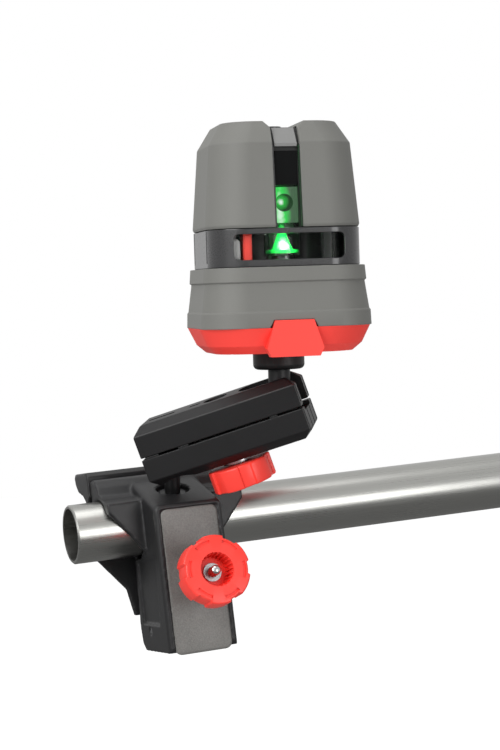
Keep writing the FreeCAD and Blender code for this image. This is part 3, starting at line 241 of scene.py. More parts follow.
# Drawn or turned metal: long fine lines along one direction
def makeDrawnGroup():
    group = bpy.data.node_groups.new("drawnLines", "ShaderNodeTree")
    addSockets(group, [("Vector", "NodeSocketVector", None), ("Colour", "NodeSocketColor", (0.7, 0.7, 0.7, 1)),
                       ("Line size", "NodeSocketFloat", 900.0), ("Spread", "NodeSocketFloat", 0.08),
                       ("Roughness", "NodeSocketFloat", 0.3), ("Rough spread", "NodeSocketFloat", 0.15)],
               [("Colour", "NodeSocketColor"), ("Roughness", "NodeSocketFloat"), ("Height", "NodeSocketFloat")])
    ends = group.nodes.new("NodeGroupInput")
    out = group.nodes.new("NodeGroupOutput")
    lines = noiseNode(group, ends.outputs["Vector"], ends.outputs["Line size"], 2.0)
    where = group.nodes.new("ShaderNodeTexCoord").outputs["Object"]
    smudge = noiseNode(group, where, 22.0, 3.0)
    shift = mathNode(group, "SUBTRACT", lines, 0.5)
    tintBy(group, ends, out, shift, 3.0)
    smudgeShare = 0.6
    slow = mathNode(group, "MULTIPLY_ADD", mathNode(group, "SUBTRACT", smudge, 0.5), smudgeShare, shift)
    group.links.new(mathNode(group, "MULTIPLY_ADD", slow, ends.outputs["Rough spread"], ends.outputs["Roughness"]),
                    out.inputs["Roughness"])
    group.links.new(lines, out.inputs["Height"])
    return group


skinGroup = makeSkinGroup()
drawnGroup = makeDrawnGroup()


def startMaterial(name):
    material = bpy.data.materials.new(name)
    material.use_nodes = True
    tree = material.node_tree
    return material, tree, tree.nodes["Principled BSDF"]


bumpHeight = 0.0001  # metres


def useBump(tree, shader, height, strength):
    bump = tree.nodes.new("ShaderNodeBump")
    setValues(bump, {"Strength": strength, "Distance": bumpHeight})
    tree.links.new(height, bump.inputs["Height"])
    tree.links.new(bump.outputs["Normal"], shader.inputs["Normal"])


def placeGroup(tree, shader, group, colour, values):
    node = tree.nodes.new("ShaderNodeGroup")
    node.node_tree = group
    setValues(node, dict(values, Colour=hexColour(colour)))
    tree.links.new(node.outputs["Colour"], shader.inputs["Base Color"])
    tree.links.new(node.outputs["Roughness"], shader.inputs["Roughness"])
    return node


def skinMaterial(name, colour, roughness, grain, bump, spread, roughSpread=0.1, sheen=0.0, coat=0.0, metallic=0.0,
                 specular=0.5):
    material, tree, shader = startMaterial(name)
    skin = placeGroup(tree, shader, skinGroup, colour, {"Grain size": grain, "Spread": spread,
                                                        "Roughness": roughness, "Rough spread": roughSpread})
    setValues(shader, {"Metallic": metallic, "Specular IOR Level": specular, "Sheen Weight": sheen,
                       "Coat Weight": coat})
    useBump(tree, shader, skin.outputs["Height"], bump)
    return material


def drawnMaterial(name, colour, roughness, along, lines, stretch, bump, spread=0.06):
    material, tree, shader = startMaterial(name)
    where = tree.nodes.new("ShaderNodeTexCoord")
    mapping = tree.nodes.new("ShaderNodeMapping")
    mapping.vector_type = "TEXTURE"
    setValues(mapping, {"Rotation": Vector(along).to_track_quat("X", "Z").to_euler(), "Scale": (1 / stretch, 1, 1)})
    tree.links.new(where.outputs["Object"], mapping.inputs["Vector"])
    drawn = placeGroup(tree, shader, drawnGroup, colour, {"Line size": lines, "Spread": spread,
                                                          "Roughness": roughness})
    tree.links.new(mapping.outputs["Vector"], drawn.inputs["Vector"])
    setValues(shader, {"Metallic": 1.0})
    useBump(tree, shader, drawn.outputs["Height"], bump)
    return material


def clearMaterial(name, colour, roughness, ior, glow=None, glowStrength=0.0, specular=0.5):
    material, tree, shader = startMaterial(name)
    placeGroup(tree, shader, skinGroup, colour, {"Spread": 0.01, "Roughness": roughness, "Rough spread": 0.02})
    setValues(shader, {"Transmission Weight": 1.0, "IOR": ior, "Specular IOR Level": specular})
    if glow:
        setValues(shader, {"Emission Color": hexColour(glow), "Emission Strength": glowStrength})
    return material


# Thin pane that lets lamp light through to what stands behind it
def paneMaterial(name, colour, cover):
    material = skinMaterial(name, colour, 0.05, grain=900.0, bump=0.01, spread=0.02, roughSpread=0.03)
    setValues(material.node_tree.nodes["Principled BSDF"], {"Alpha": cover})
    return material


# Painted laser light standing in a lens: white-hot at a spot and green away from it, drawn out along z by the stretch
def glowMaterial(name, spot, reach, strength, edge, middle="20ff5a", heart="f4fff6", stretch=1.0):
    material, tree, shader = startMaterial(name)
    where = tree.nodes.new("ShaderNodeTexCoord")
    mapping = tree.nodes.new("ShaderNodeMapping")
    mapping.vector_type = "TEXTURE"
    setValues(mapping, {"Location": spot, "Scale": (reach, reach, reach * stretch)})
    tree.links.new(where.outputs["Object"], mapping.inputs["Vector"])
    far = tree.nodes.new("ShaderNodeVectorMath")
    far.operation = "LENGTH"
    tree.links.new(mapping.outputs["Vector"], far.inputs[0])
    wander = noiseNode(tree, where.outputs["Object"], 420.0, 3.0)
    level = mathNode(tree, "ADD", far.outputs["Value"], mathNode(tree, "MULTIPLY_ADD", wander, 0.4, -0.2))
    ramp = tree.nodes.new("ShaderNodeValToRGB")
    ramp.color_ramp.elements[0].position = 0.12
    ramp.color_ramp.elements[0].color = hexColour(heart)
    ramp.color_ramp.elements[1].position = 1.0
    ramp.color_ramp.elements[1].color = hexColour(edge)
    stop = ramp.color_ramp.elements.new(0.45)
    stop.color = hexColour(middle)
    tree.links.new(level, ramp.inputs["Fac"])
    tree.links.new(ramp.outputs["Color"], shader.inputs["Emission Color"])
    setValues(shader, {"Emission Strength": strength, "Base Color": hexColour("0c3015"), "Roughness": 0.2})
    return material


finishes = {
    "greyRubber": skinMaterial("greyRubber", "747470", 0.58, grain=3200.0, bump=0.22, spread=0.05, sheen=0.05,
                               specular=0.35),
    "redPlastic": skinMaterial("redPlastic", "ff4035", 0.36, grain=2200.0, bump=0.12, spread=0.03),
    "redBase": skinMaterial("redBase", "ff4339", 0.46, grain=2200.0, bump=0.15, spread=0.03),
    "armBlack": skinMaterial("armBlack", "161617", 0.44, grain=2600.0, bump=0.55, spread=0.12, specular=0.4),
    "clampBlack": skinMaterial("clampBlack", "202021", 0.4, grain=2400.0, bump=0.6, spread=0.15, specular=0.4),
    # The front panel's light grey and strong speckle are painted sheen on its textured face
    "clampPanelSheen": skinMaterial("clampPanelSheen", "6b6a67", 0.4, grain=1300.0, bump=1.0, spread=0.5, specular=0.4),
    "bandBlack": skinMaterial("bandBlack", "2c2c2d", 0.28, grain=2000.0, bump=0.45, spread=0.15, coat=0.35),
    "glossBlack": skinMaterial("glossBlack", "0b0c0c", 0.1, grain=900.0, bump=0.02, spread=0.02, roughSpread=0.04,
                               specular=0.12),
    "insideBlack": skinMaterial("insideBlack", "141414", 0.55, grain=2400.0, bump=0.2, spread=0.05),
    "insertGrey": skinMaterial("insertGrey", "7c7c7b", 0.5, grain=3000.0, bump=0.35, spread=0.12),
    "castAlloy": skinMaterial("castAlloy", "a4a5a6", 0.5, grain=1500.0, bump=0.5, spread=0.1, metallic=0.2),
    "moduleMetal": skinMaterial("moduleMetal", "5f6062", 0.3, grain=2600.0, bump=0.2, spread=0.08, metallic=1.0),
    "boardGreen": skinMaterial("boardGreen", "155a35", 0.35, grain=900.0, bump=0.25, spread=0.15, coat=0.4),
    "cellWrap": skinMaterial("cellWrap", "2b3140", 0.22, grain=600.0, bump=0.05, spread=0.05, coat=0.5),
    "redFlag": skinMaterial("redFlag", "ff4a3c", 0.4, grain=2200.0, bump=0.1, spread=0.03),
    # Painted glow: laser light painted as emission on the lens plate, the lens ring and the cone mirror
    "lensPlate": glowMaterial("lensPlate", laserFrame @ Vector((-1.9, -24.8, 68)), 0.0052, 1.0, edge="4c6a50",
                              middle="2fe055", heart="d8ffe0", stretch=5.0),
    "lensRing": glowMaterial("lensRing", laserFrame @ Vector((-1.6, -25.4, 72.6)), 0.0042, 1.0, edge="06330f",
                             middle="16b93a", heart="e8fff0"),
    "coneGlow": glowMaterial("coneGlow", laserFrame @ Vector((0, -22, 52.2)), 0.0076, 3.0, edge="053f16",
                             stretch=1.4),
    # Painted glow: laser light painted on the slot's right liner
    "slotGlow": glowMaterial("slotGlow", laserFrame @ Vector((7, -29, 69)), 0.006, 0.55, edge="020503",
                             middle="0a5a1c", heart="22c848", stretch=2.4),
    "clearPane": paneMaterial("clearPane", "161c18", 0.08),
    "blockGrey": skinMaterial("blockGrey", "b4b5b3", 0.5, grain=2200.0, bump=0.3, spread=0.1),
    "brass": skinMaterial("brass", "c9a35a", 0.28, grain=1200.0, bump=0.15, spread=0.08, metallic=1.0),
    "tubeAluminium": drawnMaterial("tubeAluminium", "b6b6b2", 0.3, tubeAxis, lines=1500.0, stretch=0.012, bump=0.03,
                                   spread=0.03),
    "screwSteel": drawnMaterial("screwSteel", "c9c9c8", 0.2, screwAxis, lines=1600.0, stretch=0.4, bump=0.05),
    "steel": skinMaterial("steel", "b4b4b5", 0.26, grain=1600.0, bump=0.12, spread=0.06, metallic=1.0),
    "darkSteel": skinMaterial("darkSteel", "3c3c3d", 0.34, grain=1600.0, bump=0.1, spread=0.06, metallic=0.8),
    "springSteel": skinMaterial("springSteel", "8c8c8e", 0.34, grain=1600.0, bump=0.15, spread=0.08, metallic=1.0),
    "clearGlass": clearMaterial("clearGlass", "eefaf0", 0.02, ior=1.3, specular=0.4),
    # lensGlass carries a faint painted green glow of laser light
    "lensGlass": clearMaterial("lensGlass", "d8ffe2", 0.02, ior=1.52, glow="18c84a", glowStrength=0.06),
}

nodeFinishes = {
    "tubeAluminium": ["support_tube"],
    "clampBlack": ["clamp_body", "rear_jaw"],
    "clampPanelSheen": ["front_plate"],
    "steel": ["jaw_hinge_pin", "screw_trunnion", "clamp_knob_nut", "knob_sleeve", "arm_bolt",
              "arm_washer", "arm_knob_nut", "door_hinge_pin", "base_screws", "damping_magnet"],
    "darkSteel": ["lower_ball_stud"],
    "screwSteel": ["clamp_screw"],
    "springSteel": ["jaw_spring", "arm_spring"],
    "armBlack": ["arm_upper_shell", "arm_lower_shell", "stud_collar", "upper_ball_stud"],
    "redPlastic": ["clamp_knob", "arm_knob", "lock_slider"],
    "redFlag": ["lock_flag"],
    "redBase": ["laser_base"],
    "greyRubber": ["lower_grip", "left_wing", "right_wing"],
    "bandBlack": ["middle_band", "battery_door", "mode_button"],
    "insideBlack": ["lower_housing", "upper_core", "lock_bar", "button_switch"],
    "clearPane": ["horizontal_window", "slot_window"],
    "glossBlack": ["beam_window"],
    "lensGlass": ["front_lens", "cone_prism"],
    "insertGrey": ["slot_insert"],
    "castAlloy": ["chassis", "gimbal_ring", "pendulum"],
    "moduleMetal": ["front_module", "cone_module"],
    "boardGreen": ["circuit_board"],
    "cellWrap": ["battery_cells"],
    "brass": ["thread_insert", "pendulum_weight", "battery_contacts"],
}
for finish, nodes in nodeFinishes.items():
    for node in nodes:
        slots = frame["nodes"][node].data.materials
        slots.clear()
        slots.append(finishes[finish])
print("finishes set on", sum(len(nodes) for nodes in nodeFinishes.values()), "nodes")

# modelling helpers: a primitive is shaped in edit mode and finished with applied modifiers


def useAlone(piece):
    bpy.ops.object.select_all(action="DESELECT")
    bpy.context.view_layer.objects.active = piece
    piece.select_set(True)


def startEdit(piece):
    useAlone(piece)
    bpy.ops.object.mode_set(mode="EDIT")


def endEdit():
    bpy.ops.object.mode_set(mode="OBJECT")


def pickAll():
    bpy.ops.mesh.select_all(action="SELECT")


def pickFaces(piece, test):
    bpy.ops.mesh.select_mode(type="FACE")
    bpy.ops.mesh.select_all(action="DESELECT")
    net = bmesh.from_edit_mesh(piece.data)
    for face in net.faces:
        face.select_set(bool(test(face.calc_center_median(), face.normal)))
    bmesh.update_edit_mesh(piece.data)


def pickEdges(piece, test):
    bpy.ops.mesh.select_mode(type="EDGE")
    bpy.ops.mesh.select_all(action="DESELECT")
    net = bmesh.from_edit_mesh(piece.data)
    for edge in net.edges:
        edge.select_set(bool(test(edge.verts[0].co, edge.verts[1].co)))
    bmesh.update_edit_mesh(piece.data)


def pickPoints(piece, test):
    bpy.ops.mesh.select_mode(type="VERT")
    bpy.ops.mesh.select_all(action="DESELECT")
    net = bmesh.from_edit_mesh(piece.data)
    for point in net.verts:
        point.select_set(bool(test(point.co)))
    bmesh.update_edit_mesh(piece.data)


def moveBy(distance):
    bpy.ops.transform.translate(value=distance)


def pushOut(distance):
    bpy.ops.mesh.extrude_region_move(TRANSFORM_OT_translate={"value": distance})


def pickTop(piece):
    pickFaces(piece, lambda spot, normal: normal.z > 0.99)


def growBy(across, along=None):
    along = across if along is None else along
    bpy.ops.transform.resize(value=(across, along, 1), center_override=(0, 0, 0))


def finishWith(piece, kind, **values):
    useAlone(piece)
    step = piece.modifiers.new(kind.lower(), kind)
    for name, value in values.items():
        setattr(step, name, value)
    bpy.ops.object.modifier_apply(modifier=step.name)


def smoothUnder(piece, degrees):
    useAlone(piece)
    bpy.ops.object.shade_smooth_by_angle(angle=math.radians(degrees))


def softenEdges(piece, width, segments=3, angle=30, smooth=40):
    finishWith(piece, "BEVEL", width=width, segments=segments, limit_method="ANGLE", angle_limit=math.radians(angle))
    smoothUnder(piece, smooth)
    finishWith(piece, "WEIGHTED_NORMAL", keep_sharp=True, weight=60)


def tidyNormals(piece):
    startEdit(piece)
    pickAll()
    bpy.ops.mesh.remove_doubles(threshold=0.001)
    bpy.ops.mesh.normals_make_consistent()
    endEdit()


def useNothing():
    bpy.ops.object.select_all(action="DESELECT")


def named(name):
    piece = bpy.context.object
    piece.name = name
    bpy.ops.object.transform_apply()
    return piece


def boxPiece(name, low, high):
    middle = [(a + b) / 2 for a, b in zip(low, high)]
    extent = [b - a for a, b in zip(low, high)]
    useNothing()
    bpy.ops.mesh.primitive_cube_add(size=1, location=middle, scale=extent)
    return named(name)


def rodPiece(name, radius, low, high, centre=(0, 0), points=64, ends="NGON"):
    useNothing()
    bpy.ops.mesh.primitive_cylinder_add(vertices=points, radius=radius, depth=high - low, end_fill_type=ends,
                                        location=(centre[0], centre[1], (low + high) / 2))
    return named(name)


def turnedAbout(piece, axis, degrees):
    piece.data.transform(Matrix.Rotation(math.radians(degrees), 4, axis))


# Cutters reach past the piece, where their length doesn't matter. The manifold solver suits outlines with
# bevelled steps, which the exact one can empty
def carve(piece, *cutters, solver="EXACT"):
    for cutter in cutters:
        finishWith(piece, "BOOLEAN", operation="DIFFERENCE", solver=solver, object=cutter)
        bpy.data.objects.remove(cutter)


def weld(piece, other):
    finishWith(piece, "BOOLEAN", operation="UNION", solver="EXACT", object=other)
    bpy.data.objects.remove(other)


def joinAll(piece, others):
    useAlone(piece)
    for other in others:
        other.select_set(True)
    bpy.ops.object.join()


def copyOf(piece, name):
    twin = piece.copy()
    twin.data = piece.data.copy()
    twin.name = name
    scene.collection.objects.link(twin)
    return twin


def settle(piece, place, body, slot, finish, *nodes):
    piece.data.transform(place)
    piece.data.materials.clear()
    piece.data.materials.append(finishes[finish])
    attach(piece, body)
    if nodes:
        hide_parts(*nodes)


# A round-cornered square drawn up through several widths, closed at both ends
def roundedTower(name, levels, corner, segments=9):
    width, height = levels[0]
    useNothing()
    bpy.ops.mesh.primitive_plane_add(size=width, location=(0, 0, height))
    piece = named(name)
    startEdit(piece)
    pickAll()
    bpy.ops.mesh.bevel(offset=corner, segments=segments, affect="VERTICES")
    pickAll()
    for nextWidth, nextHeight in levels[1:]:
        pushOut((0, 0, nextHeight - height))
        growBy(nextWidth / width)
        width, height = nextWidth, nextHeight
    endEdit()
    tidyNormals(piece)
    return piece


def hollowFrom(piece, faceTest, wall):
    startEdit(piece)
    pickFaces(piece, faceTest)
    bpy.ops.mesh.delete(type="FACE")
    endEdit()
    finishWith(piece, "SOLIDIFY", thickness=wall, offset=-1, use_even_offset=True)


# laser level: rubber wings

wingSizes = {"foot": 76.2, "shoulder": 69.8, "crown": 57.0, "low": 60.1, "shoulderHeight": 100.8, "high": 111.4,
             "corner": 19.0, "wall": 2.9, "slot": 13.4, "rollHeight": 1.4, "rollIn": 1.2, "cornerCut": 3.2,
             "soften": 1.0}


def makeWing(name, node, side, sizes):
    levels = [(sizes["foot"] - sizes["rollIn"], sizes["low"]), (sizes["foot"], sizes["low"] + sizes["rollHeight"]),
              (sizes["shoulder"], sizes["shoulderHeight"]), (sizes["crown"], sizes["high"])]
    wing = roundedTower(name, levels, sizes["corner"], segments=10)
    hollowFrom(wing, lambda spot, normal: normal.z < -0.99, sizes["wall"])
    startEdit(wing)
    pickAll()
    split = side * sizes["slot"] / 2
    bpy.ops.mesh.bisect(plane_co=(split, 0, 0), plane_no=(side, 0, 0), use_fill=True, clear_inner=True)
    pickEdges(wing, lambda a, b: max(abs(a.x - split), abs(b.x - split)) < 0.01
              and min(a.z, b.z) > sizes["high"] - 0.01)
    bpy.ops.mesh.bevel(offset=sizes["cornerCut"], segments=1)
    endEdit()
    softenEdges(wing, sizes["soften"], angle=22, smooth=32)
    settle(wing, laserFrame, "laser", "grey_rubber", "greyRubber", node)


makeWing("leftRubberWing", "left_wing", -1, wingSizes)
makeWing("rightRubberWing", "right_wing", 1, wingSizes)
print("wings made")

# laser level: lower rubber skirt with its ledges, door opening and lock slot

skirtSizes = {"corner": 20.0, "wall": 3.2, "soften": 0.45,
              "profile": [(84.0, 12.4), (83.5, 19.7), (82.4, 20.3), (78.8, 34.0), (80.5, 34.5), (79.4, 41.5)],
              "bumpTop": 19.6, "bumpFoot": 28.4, "bumpHeight": 16.25, "bumpLow": 8.0, "frontTo": -36.0,
              "backFrom": 33.0, "sideFrom": 34.0, "outside": 50.0, "doorPlay": 0.3, "doorUnder": 0.7,
              "sliderPlay": 0.4, "sliderTravel": 6.6}


def bumpShape(name, topWidth, footWidth, top, kneeHeight, low, near, far):
    piece = boxPiece(name, (-footWidth / 2, far, kneeHeight), (footWidth / 2, near, top))
    startEdit(piece)
    pickPoints(piece, lambda spot: spot.z > top - 0.01)
    growBy(topWidth / footWidth, 1.0)
    pickFaces(piece, lambda spot, normal: normal.z < -0.99)
    pushOut((0, 0, low - kneeHeight))
    endEdit()
    return piece


def makeSkirt(sizes):
    door = localBox("battery_door", laserFrame)
    slider = localBox("lock_slider", laserFrame)
    play, slide, outside = sizes["doorPlay"], sizes["sliderPlay"], sizes["outside"]
    skirt = roundedTower("rubberSkirt", sizes["profile"], sizes["corner"], segments=12)
    hollowFrom(skirt, lambda spot, normal: abs(normal.z) > 0.99, sizes["wall"])
    softenEdges(skirt, sizes["soften"], angle=14, smooth=30)
    bumpGap = boxPiece("bumpGap", (-sizes["bumpFoot"] / 2, -outside, sizes["bumpLow"]),
                       (sizes["bumpFoot"] / 2, sizes["frontTo"], sizes["bumpHeight"]))
    startEdit(bumpGap)
    pickPoints(bumpGap, lambda spot: spot.z > sizes["bumpHeight"] - 0.01)
    growBy(sizes["bumpTop"] / sizes["bumpFoot"], 1.0)
    endEdit()
    doorGap = boxPiece("doorGap", (door[0].x - play, sizes["backFrom"], door[0].z - sizes["doorUnder"]),
                       (door[1].x + play, outside, door[1].z + play))
    sliderGap = boxPiece("sliderGap", (sizes["sideFrom"], slider[0].y - 1, slider[0].z - slide),
                         (outside, slider[1].y + sizes["sliderTravel"], slider[1].z + slide))
    carve(skirt, bumpGap, doorGap, sliderGap)
    settle(skirt, laserFrame, "laser", "grey_rubber", "greyRubber", "lower_grip")


makeSkirt(skirtSizes)
print("skirt made")

# laser level: red base with its raised front bump

baseSizes = {"foot": 68.0, "knee": 76.6, "kneeHeight": 3.8, "width": 84.6, "height": 12.4, "corner": 20.0,
             "bumpTop": 19.0, "bumpFoot": 27.6, "bumpHeight": 16.0, "bumpKnee": 2.6, "bumpDrop": 1.4,
             "bumpOut": 1.8, "bumpBack": -37.4, "bumpPinch": 0.86, "bumpLean": 1.1, "soften": 0.5,
             "well": 66.0, "wellCorner": 12.0, "wellFloor": 4.0, "seatRadius": 5.7, "screwAt": 26.0,
             "headRadius": 3.1, "headDepth": 2.2, "shankRadius": 1.6}


def makeBase(sizes):
    base = roundedTower("redBaseShell", [(sizes["foot"], 0), (sizes["knee"], sizes["kneeHeight"]),
                                         (sizes["width"], sizes["height"])], sizes["corner"], segments=12)
    front = -sizes["width"] / 2 - sizes["bumpOut"]
    bump = bumpShape("bumpPart", sizes["bumpTop"], sizes["bumpFoot"], sizes["bumpHeight"], sizes["bumpKnee"],
                     -sizes["bumpDrop"], sizes["bumpBack"], front)
    startEdit(bump)
    pickPoints(bump, lambda spot: spot.z < 0)
    growBy(sizes["bumpPinch"], 1.0)
    pickPoints(bump, lambda spot: spot.z > sizes["bumpHeight"] - 0.1 and spot.y < front + 0.1)
    moveBy((0, sizes["bumpLean"], 0))
    endEdit()
    weld(base, bump)
    well = roundedTower("baseWell", [(sizes["well"], sizes["wellFloor"]), (sizes["well"], 20)], sizes["wellCorner"])
    carve(base, well, rodPiece("threadSeat", sizes["seatRadius"], -5, 30))
    half = sizes["screwAt"]
    for across in (-half, half):
        for along in (-half, half):
            carve(base, rodPiece("screwHole", sizes["headRadius"], -2, sizes["headDepth"], (across, along), 32),
                  rodPiece("screwShank", sizes["shankRadius"], -2, 30, (across, along), 24))
    softenEdges(base, sizes["soften"], angle=18, smooth=28)
    settle(base, laserFrame, "laser", "base_red", "redBase", "laser_base")


makeBase(baseSizes)
print("base made")

# laser level: glossy middle band with its window opening

bandSizes = {"width": 75.2, "low": 41.6, "high": 59.9, "corner": 18.0, "wall": 2.8, "windowWidth": 54.0,
             "windowLow": 45.0, "windowHigh": 57.2, "windowDepth": 13.0, "windowCorner": 2.6, "grooveAt": 19.5,
             "grooveHalf": 1.0, "grooveDepth": 0.9, "grooveFoot": 2.4, "soften": 0.5}


def makeBand(sizes):
    band = roundedTower("middleBandShell", [(sizes["width"], sizes["low"]), (sizes["width"], sizes["high"])],
                        sizes["corner"], segments=12)
    hollowFrom(band, lambda spot, normal: abs(normal.z) > 0.99, sizes["wall"])
    front = -sizes["width"] / 2
    opening = boxPiece("opening", (-sizes["windowWidth"] / 2, front - 2, sizes["windowLow"]),
                       (sizes["windowWidth"] / 2, front + sizes["windowDepth"], sizes["windowHigh"]))
    startEdit(opening)
    pickEdges(opening, lambda a, b: abs(a.y - b.y) > 1)
    bpy.ops.mesh.bevel(offset=sizes["windowCorner"], segments=5)
    endEdit()
    carve(band, opening)
    half = sizes["grooveHalf"]
    for middle in (-sizes["grooveAt"], sizes["grooveAt"]):
        for turn in (0, 180, 270):  # the window's side has no grooves
            groove = boxPiece("groove", (front - 2, middle - half, sizes["low"] + sizes["grooveFoot"]),
                              (front + sizes["grooveDepth"], middle + half, sizes["high"] + 3))
            turnedAbout(groove, "Z", turn)
            carve(band, groove)
    softenEdges(band, sizes["soften"], segments=2, angle=40, smooth=35)
    settle(band, laserFrame, "laser", "case_black", "bandBlack", "middle_band")


makeBand(bandSizes)
print("band made")

# double-ball arm: two shells with chamfers, seam lugs, sockets and recesses

armSizes = {"halfLength": 43.0, "halfDepth": 15.0, "halfHeight": 16.0, "chamfer": 4.2, "seam": 0.5, "soften": 0.55,
            "ballAt": 29.25, "socket": 7.62, "stemHalf": 8.7, "stemStart": 21.25, "stemRelief": 2.4,
            "mouthTop": 6.9, "mouthFoot": 14.6, "mouthLow": -17.0, "mouthHigh": -3.0, "mouthPast": 3.0,
            "footHalf": 9.4, "footLength": 6.5, "footHeight": 3.4,
            "boltHole": 3.1, "boltHead": 6.2, "boltHeadDepth": 4.0, "springHole": 5.5, "springDepth": 6.5,
            "recesses": [(-36.0, -2.2, -22.0, 1.2), (-14.0, -1.7, -8.4, 1.7)], "recessDepth": 1.3,
            "cornerHole": 2.6, "cornerDepth": 3.2, "cornerAt": (-41.8, -8.5), "grooveDepth": 1.1, "grooveHalf": 0.7,
            "upperGrooves": (2.5, 12.2, (-12.6, 12.6)), "lowerGrooves": (-12.0, -1.5, (-12.6, -4.2, 4.2, 12.6)),
            "lugs": [(-41.0, -33.5), (-23.0, -17.5), (26.0, 30.0)], "lugIn": 0.12, "lugDepth": 3.0,
            "lugLow": -1.2, "lugHigh": 0.4, "lugSoften": 0.25}


def makeShell(name, side, sizes):
    shell = boxPiece(name, (-sizes["halfLength"], -sizes["halfDepth"], sizes["seam"]),
                     (sizes["halfLength"], sizes["halfDepth"], sizes["halfHeight"]))
    startEdit(shell)
    pickEdges(shell, lambda a, b: min(a.z, b.z) > sizes["halfHeight"] - 0.01)
    bpy.ops.mesh.bevel(offset=sizes["chamfer"], segments=1)
    endEdit()
    if side < 0:
        turnedAbout(shell, "X", 180)
    softenEdges(shell, sizes["soften"], segments=2, angle=30, smooth=30)
    return shell


def ballCutter(across, radius):
    useNothing()
    bpy.ops.mesh.primitive_uv_sphere_add(segments=40, ring_count=24, radius=radius, location=(across, 0, 0))
    return named("socketBall")


def endGrooves(sizes, low, high, places):
    end = sizes["halfLength"]
    return [boxPiece("endGroove", (end - sizes["grooveDepth"], spot - sizes["grooveHalf"], low),
                     (end + 1, spot + sizes["grooveHalf"], high)) for spot in places]


def makeArm(sizes):
    top, end, ball, half = sizes["halfHeight"], sizes["halfLength"], sizes["ballAt"], sizes["stemHalf"]
    upper = makeShell("armUpperHalf", 1, sizes)
    stemSlot = boxPiece("stemSlot", (sizes["stemStart"], -half, -1), (end + 1, half, top + 1))
    stemRound = rodPiece("stemRound", half, -1, top + 1, (sizes["stemStart"], 0))
    recesses = [boxPiece("recess", (left, front, top - sizes["recessDepth"]), (right, back, top + 1))
                for left, front, right, back in sizes["recesses"]]
    carve(upper, ballCutter(-ball, sizes["socket"]), ballCutter(ball, sizes["socket"]), stemSlot, stemRound,
          rodPiece("boltWay", sizes["boltHole"], -1, top + 1),
          rodPiece("springWay", sizes["springHole"], -1, sizes["springDepth"]),
          rodPiece("headWay", sizes["boltHead"], top - sizes["boltHeadDepth"], top + 1), *recesses,
          rodPiece("cornerRecess", sizes["cornerHole"], top - sizes["cornerDepth"], top + 1, sizes["cornerAt"], 32),
          *endGrooves(sizes, *sizes["upperGrooves"]))
    settle(upper, armFrame, "arm", "arm_black", "armBlack", "arm_upper_shell")
    lower = makeShell("armLowerHalf", -1, sizes)
    relief = boxPiece("stemRelief", (ball, -half, -sizes["stemRelief"]), (end + 1, half, 1))
    mouthSlot = boxPiece("mouthSlot", (-end - 1, -sizes["mouthTop"], -top - 1),
                         (-ball - sizes["mouthPast"], sizes["mouthTop"], 1))
    footWay = boxPiece("footWay", (-end - 1, -sizes["footHalf"], -top - 1),
                       (-end + sizes["footLength"], sizes["footHalf"], -top + sizes["footHeight"]))
    useNothing()
    bpy.ops.mesh.primitive_cone_add(vertices=48, radius1=sizes["mouthFoot"], radius2=sizes["mouthTop"],
                                    depth=sizes["mouthHigh"] - sizes["mouthLow"],
                                    location=(-ball, 0, (sizes["mouthLow"] + sizes["mouthHigh"]) / 2))
    mouth = named("mouth")
    carve(lower, ballCutter(-ball, sizes["socket"]), ballCutter(ball, sizes["socket"]), relief, mouthSlot, mouth,
          footWay, rodPiece("boltWay", sizes["boltHole"], -top - 1, 1),
          rodPiece("springWay", sizes["springHole"], -sizes["springDepth"], 1),
          *endGrooves(sizes, *sizes["lowerGrooves"]))
    lugs = []
    for left, right in sizes["lugs"]:
        lug = boxPiece("seamLug", (left, sizes["lugIn"] - sizes["halfDepth"], sizes["lugLow"]),
                       (right, sizes["lugDepth"] - sizes["halfDepth"], sizes["lugHigh"]))
        softenEdges(lug, sizes["lugSoften"], segments=2)
        lugs.append(lug)
    joinAll(lower, lugs)
    settle(lower, armFrame, "arm", "arm_black", "armBlack", "arm_lower_shell")


makeArm(armSizes)
print("arm made")

# hand knobs: lobed rim, crescent pockets, ribbed open bore

knobSizes = {"radius": 17.0, "depth": 12.3, "bore": 8.4, "floor": 3.0, "lobes": 6, "step": 1.15, "lobeShare": 0.62,
             "ribs": 24, "ribDepth": 1.25, "ribHalf": 0.34, "ribTaper": 0.45, "ribDrop": 0.7, "ribLean": 0.7,
             "nutHole": 4.5, "pocketDepth": 0.8, "pocketWidth": 1.5, "pocketIn": 3.9, "pocketReach": 34.0,
             "edge": 0.9, "turn": 8.0}
armKnobSizes = dict(knobSizes, radius=16.2, depth=11.6, nutHole=5.0, turn=20.0)


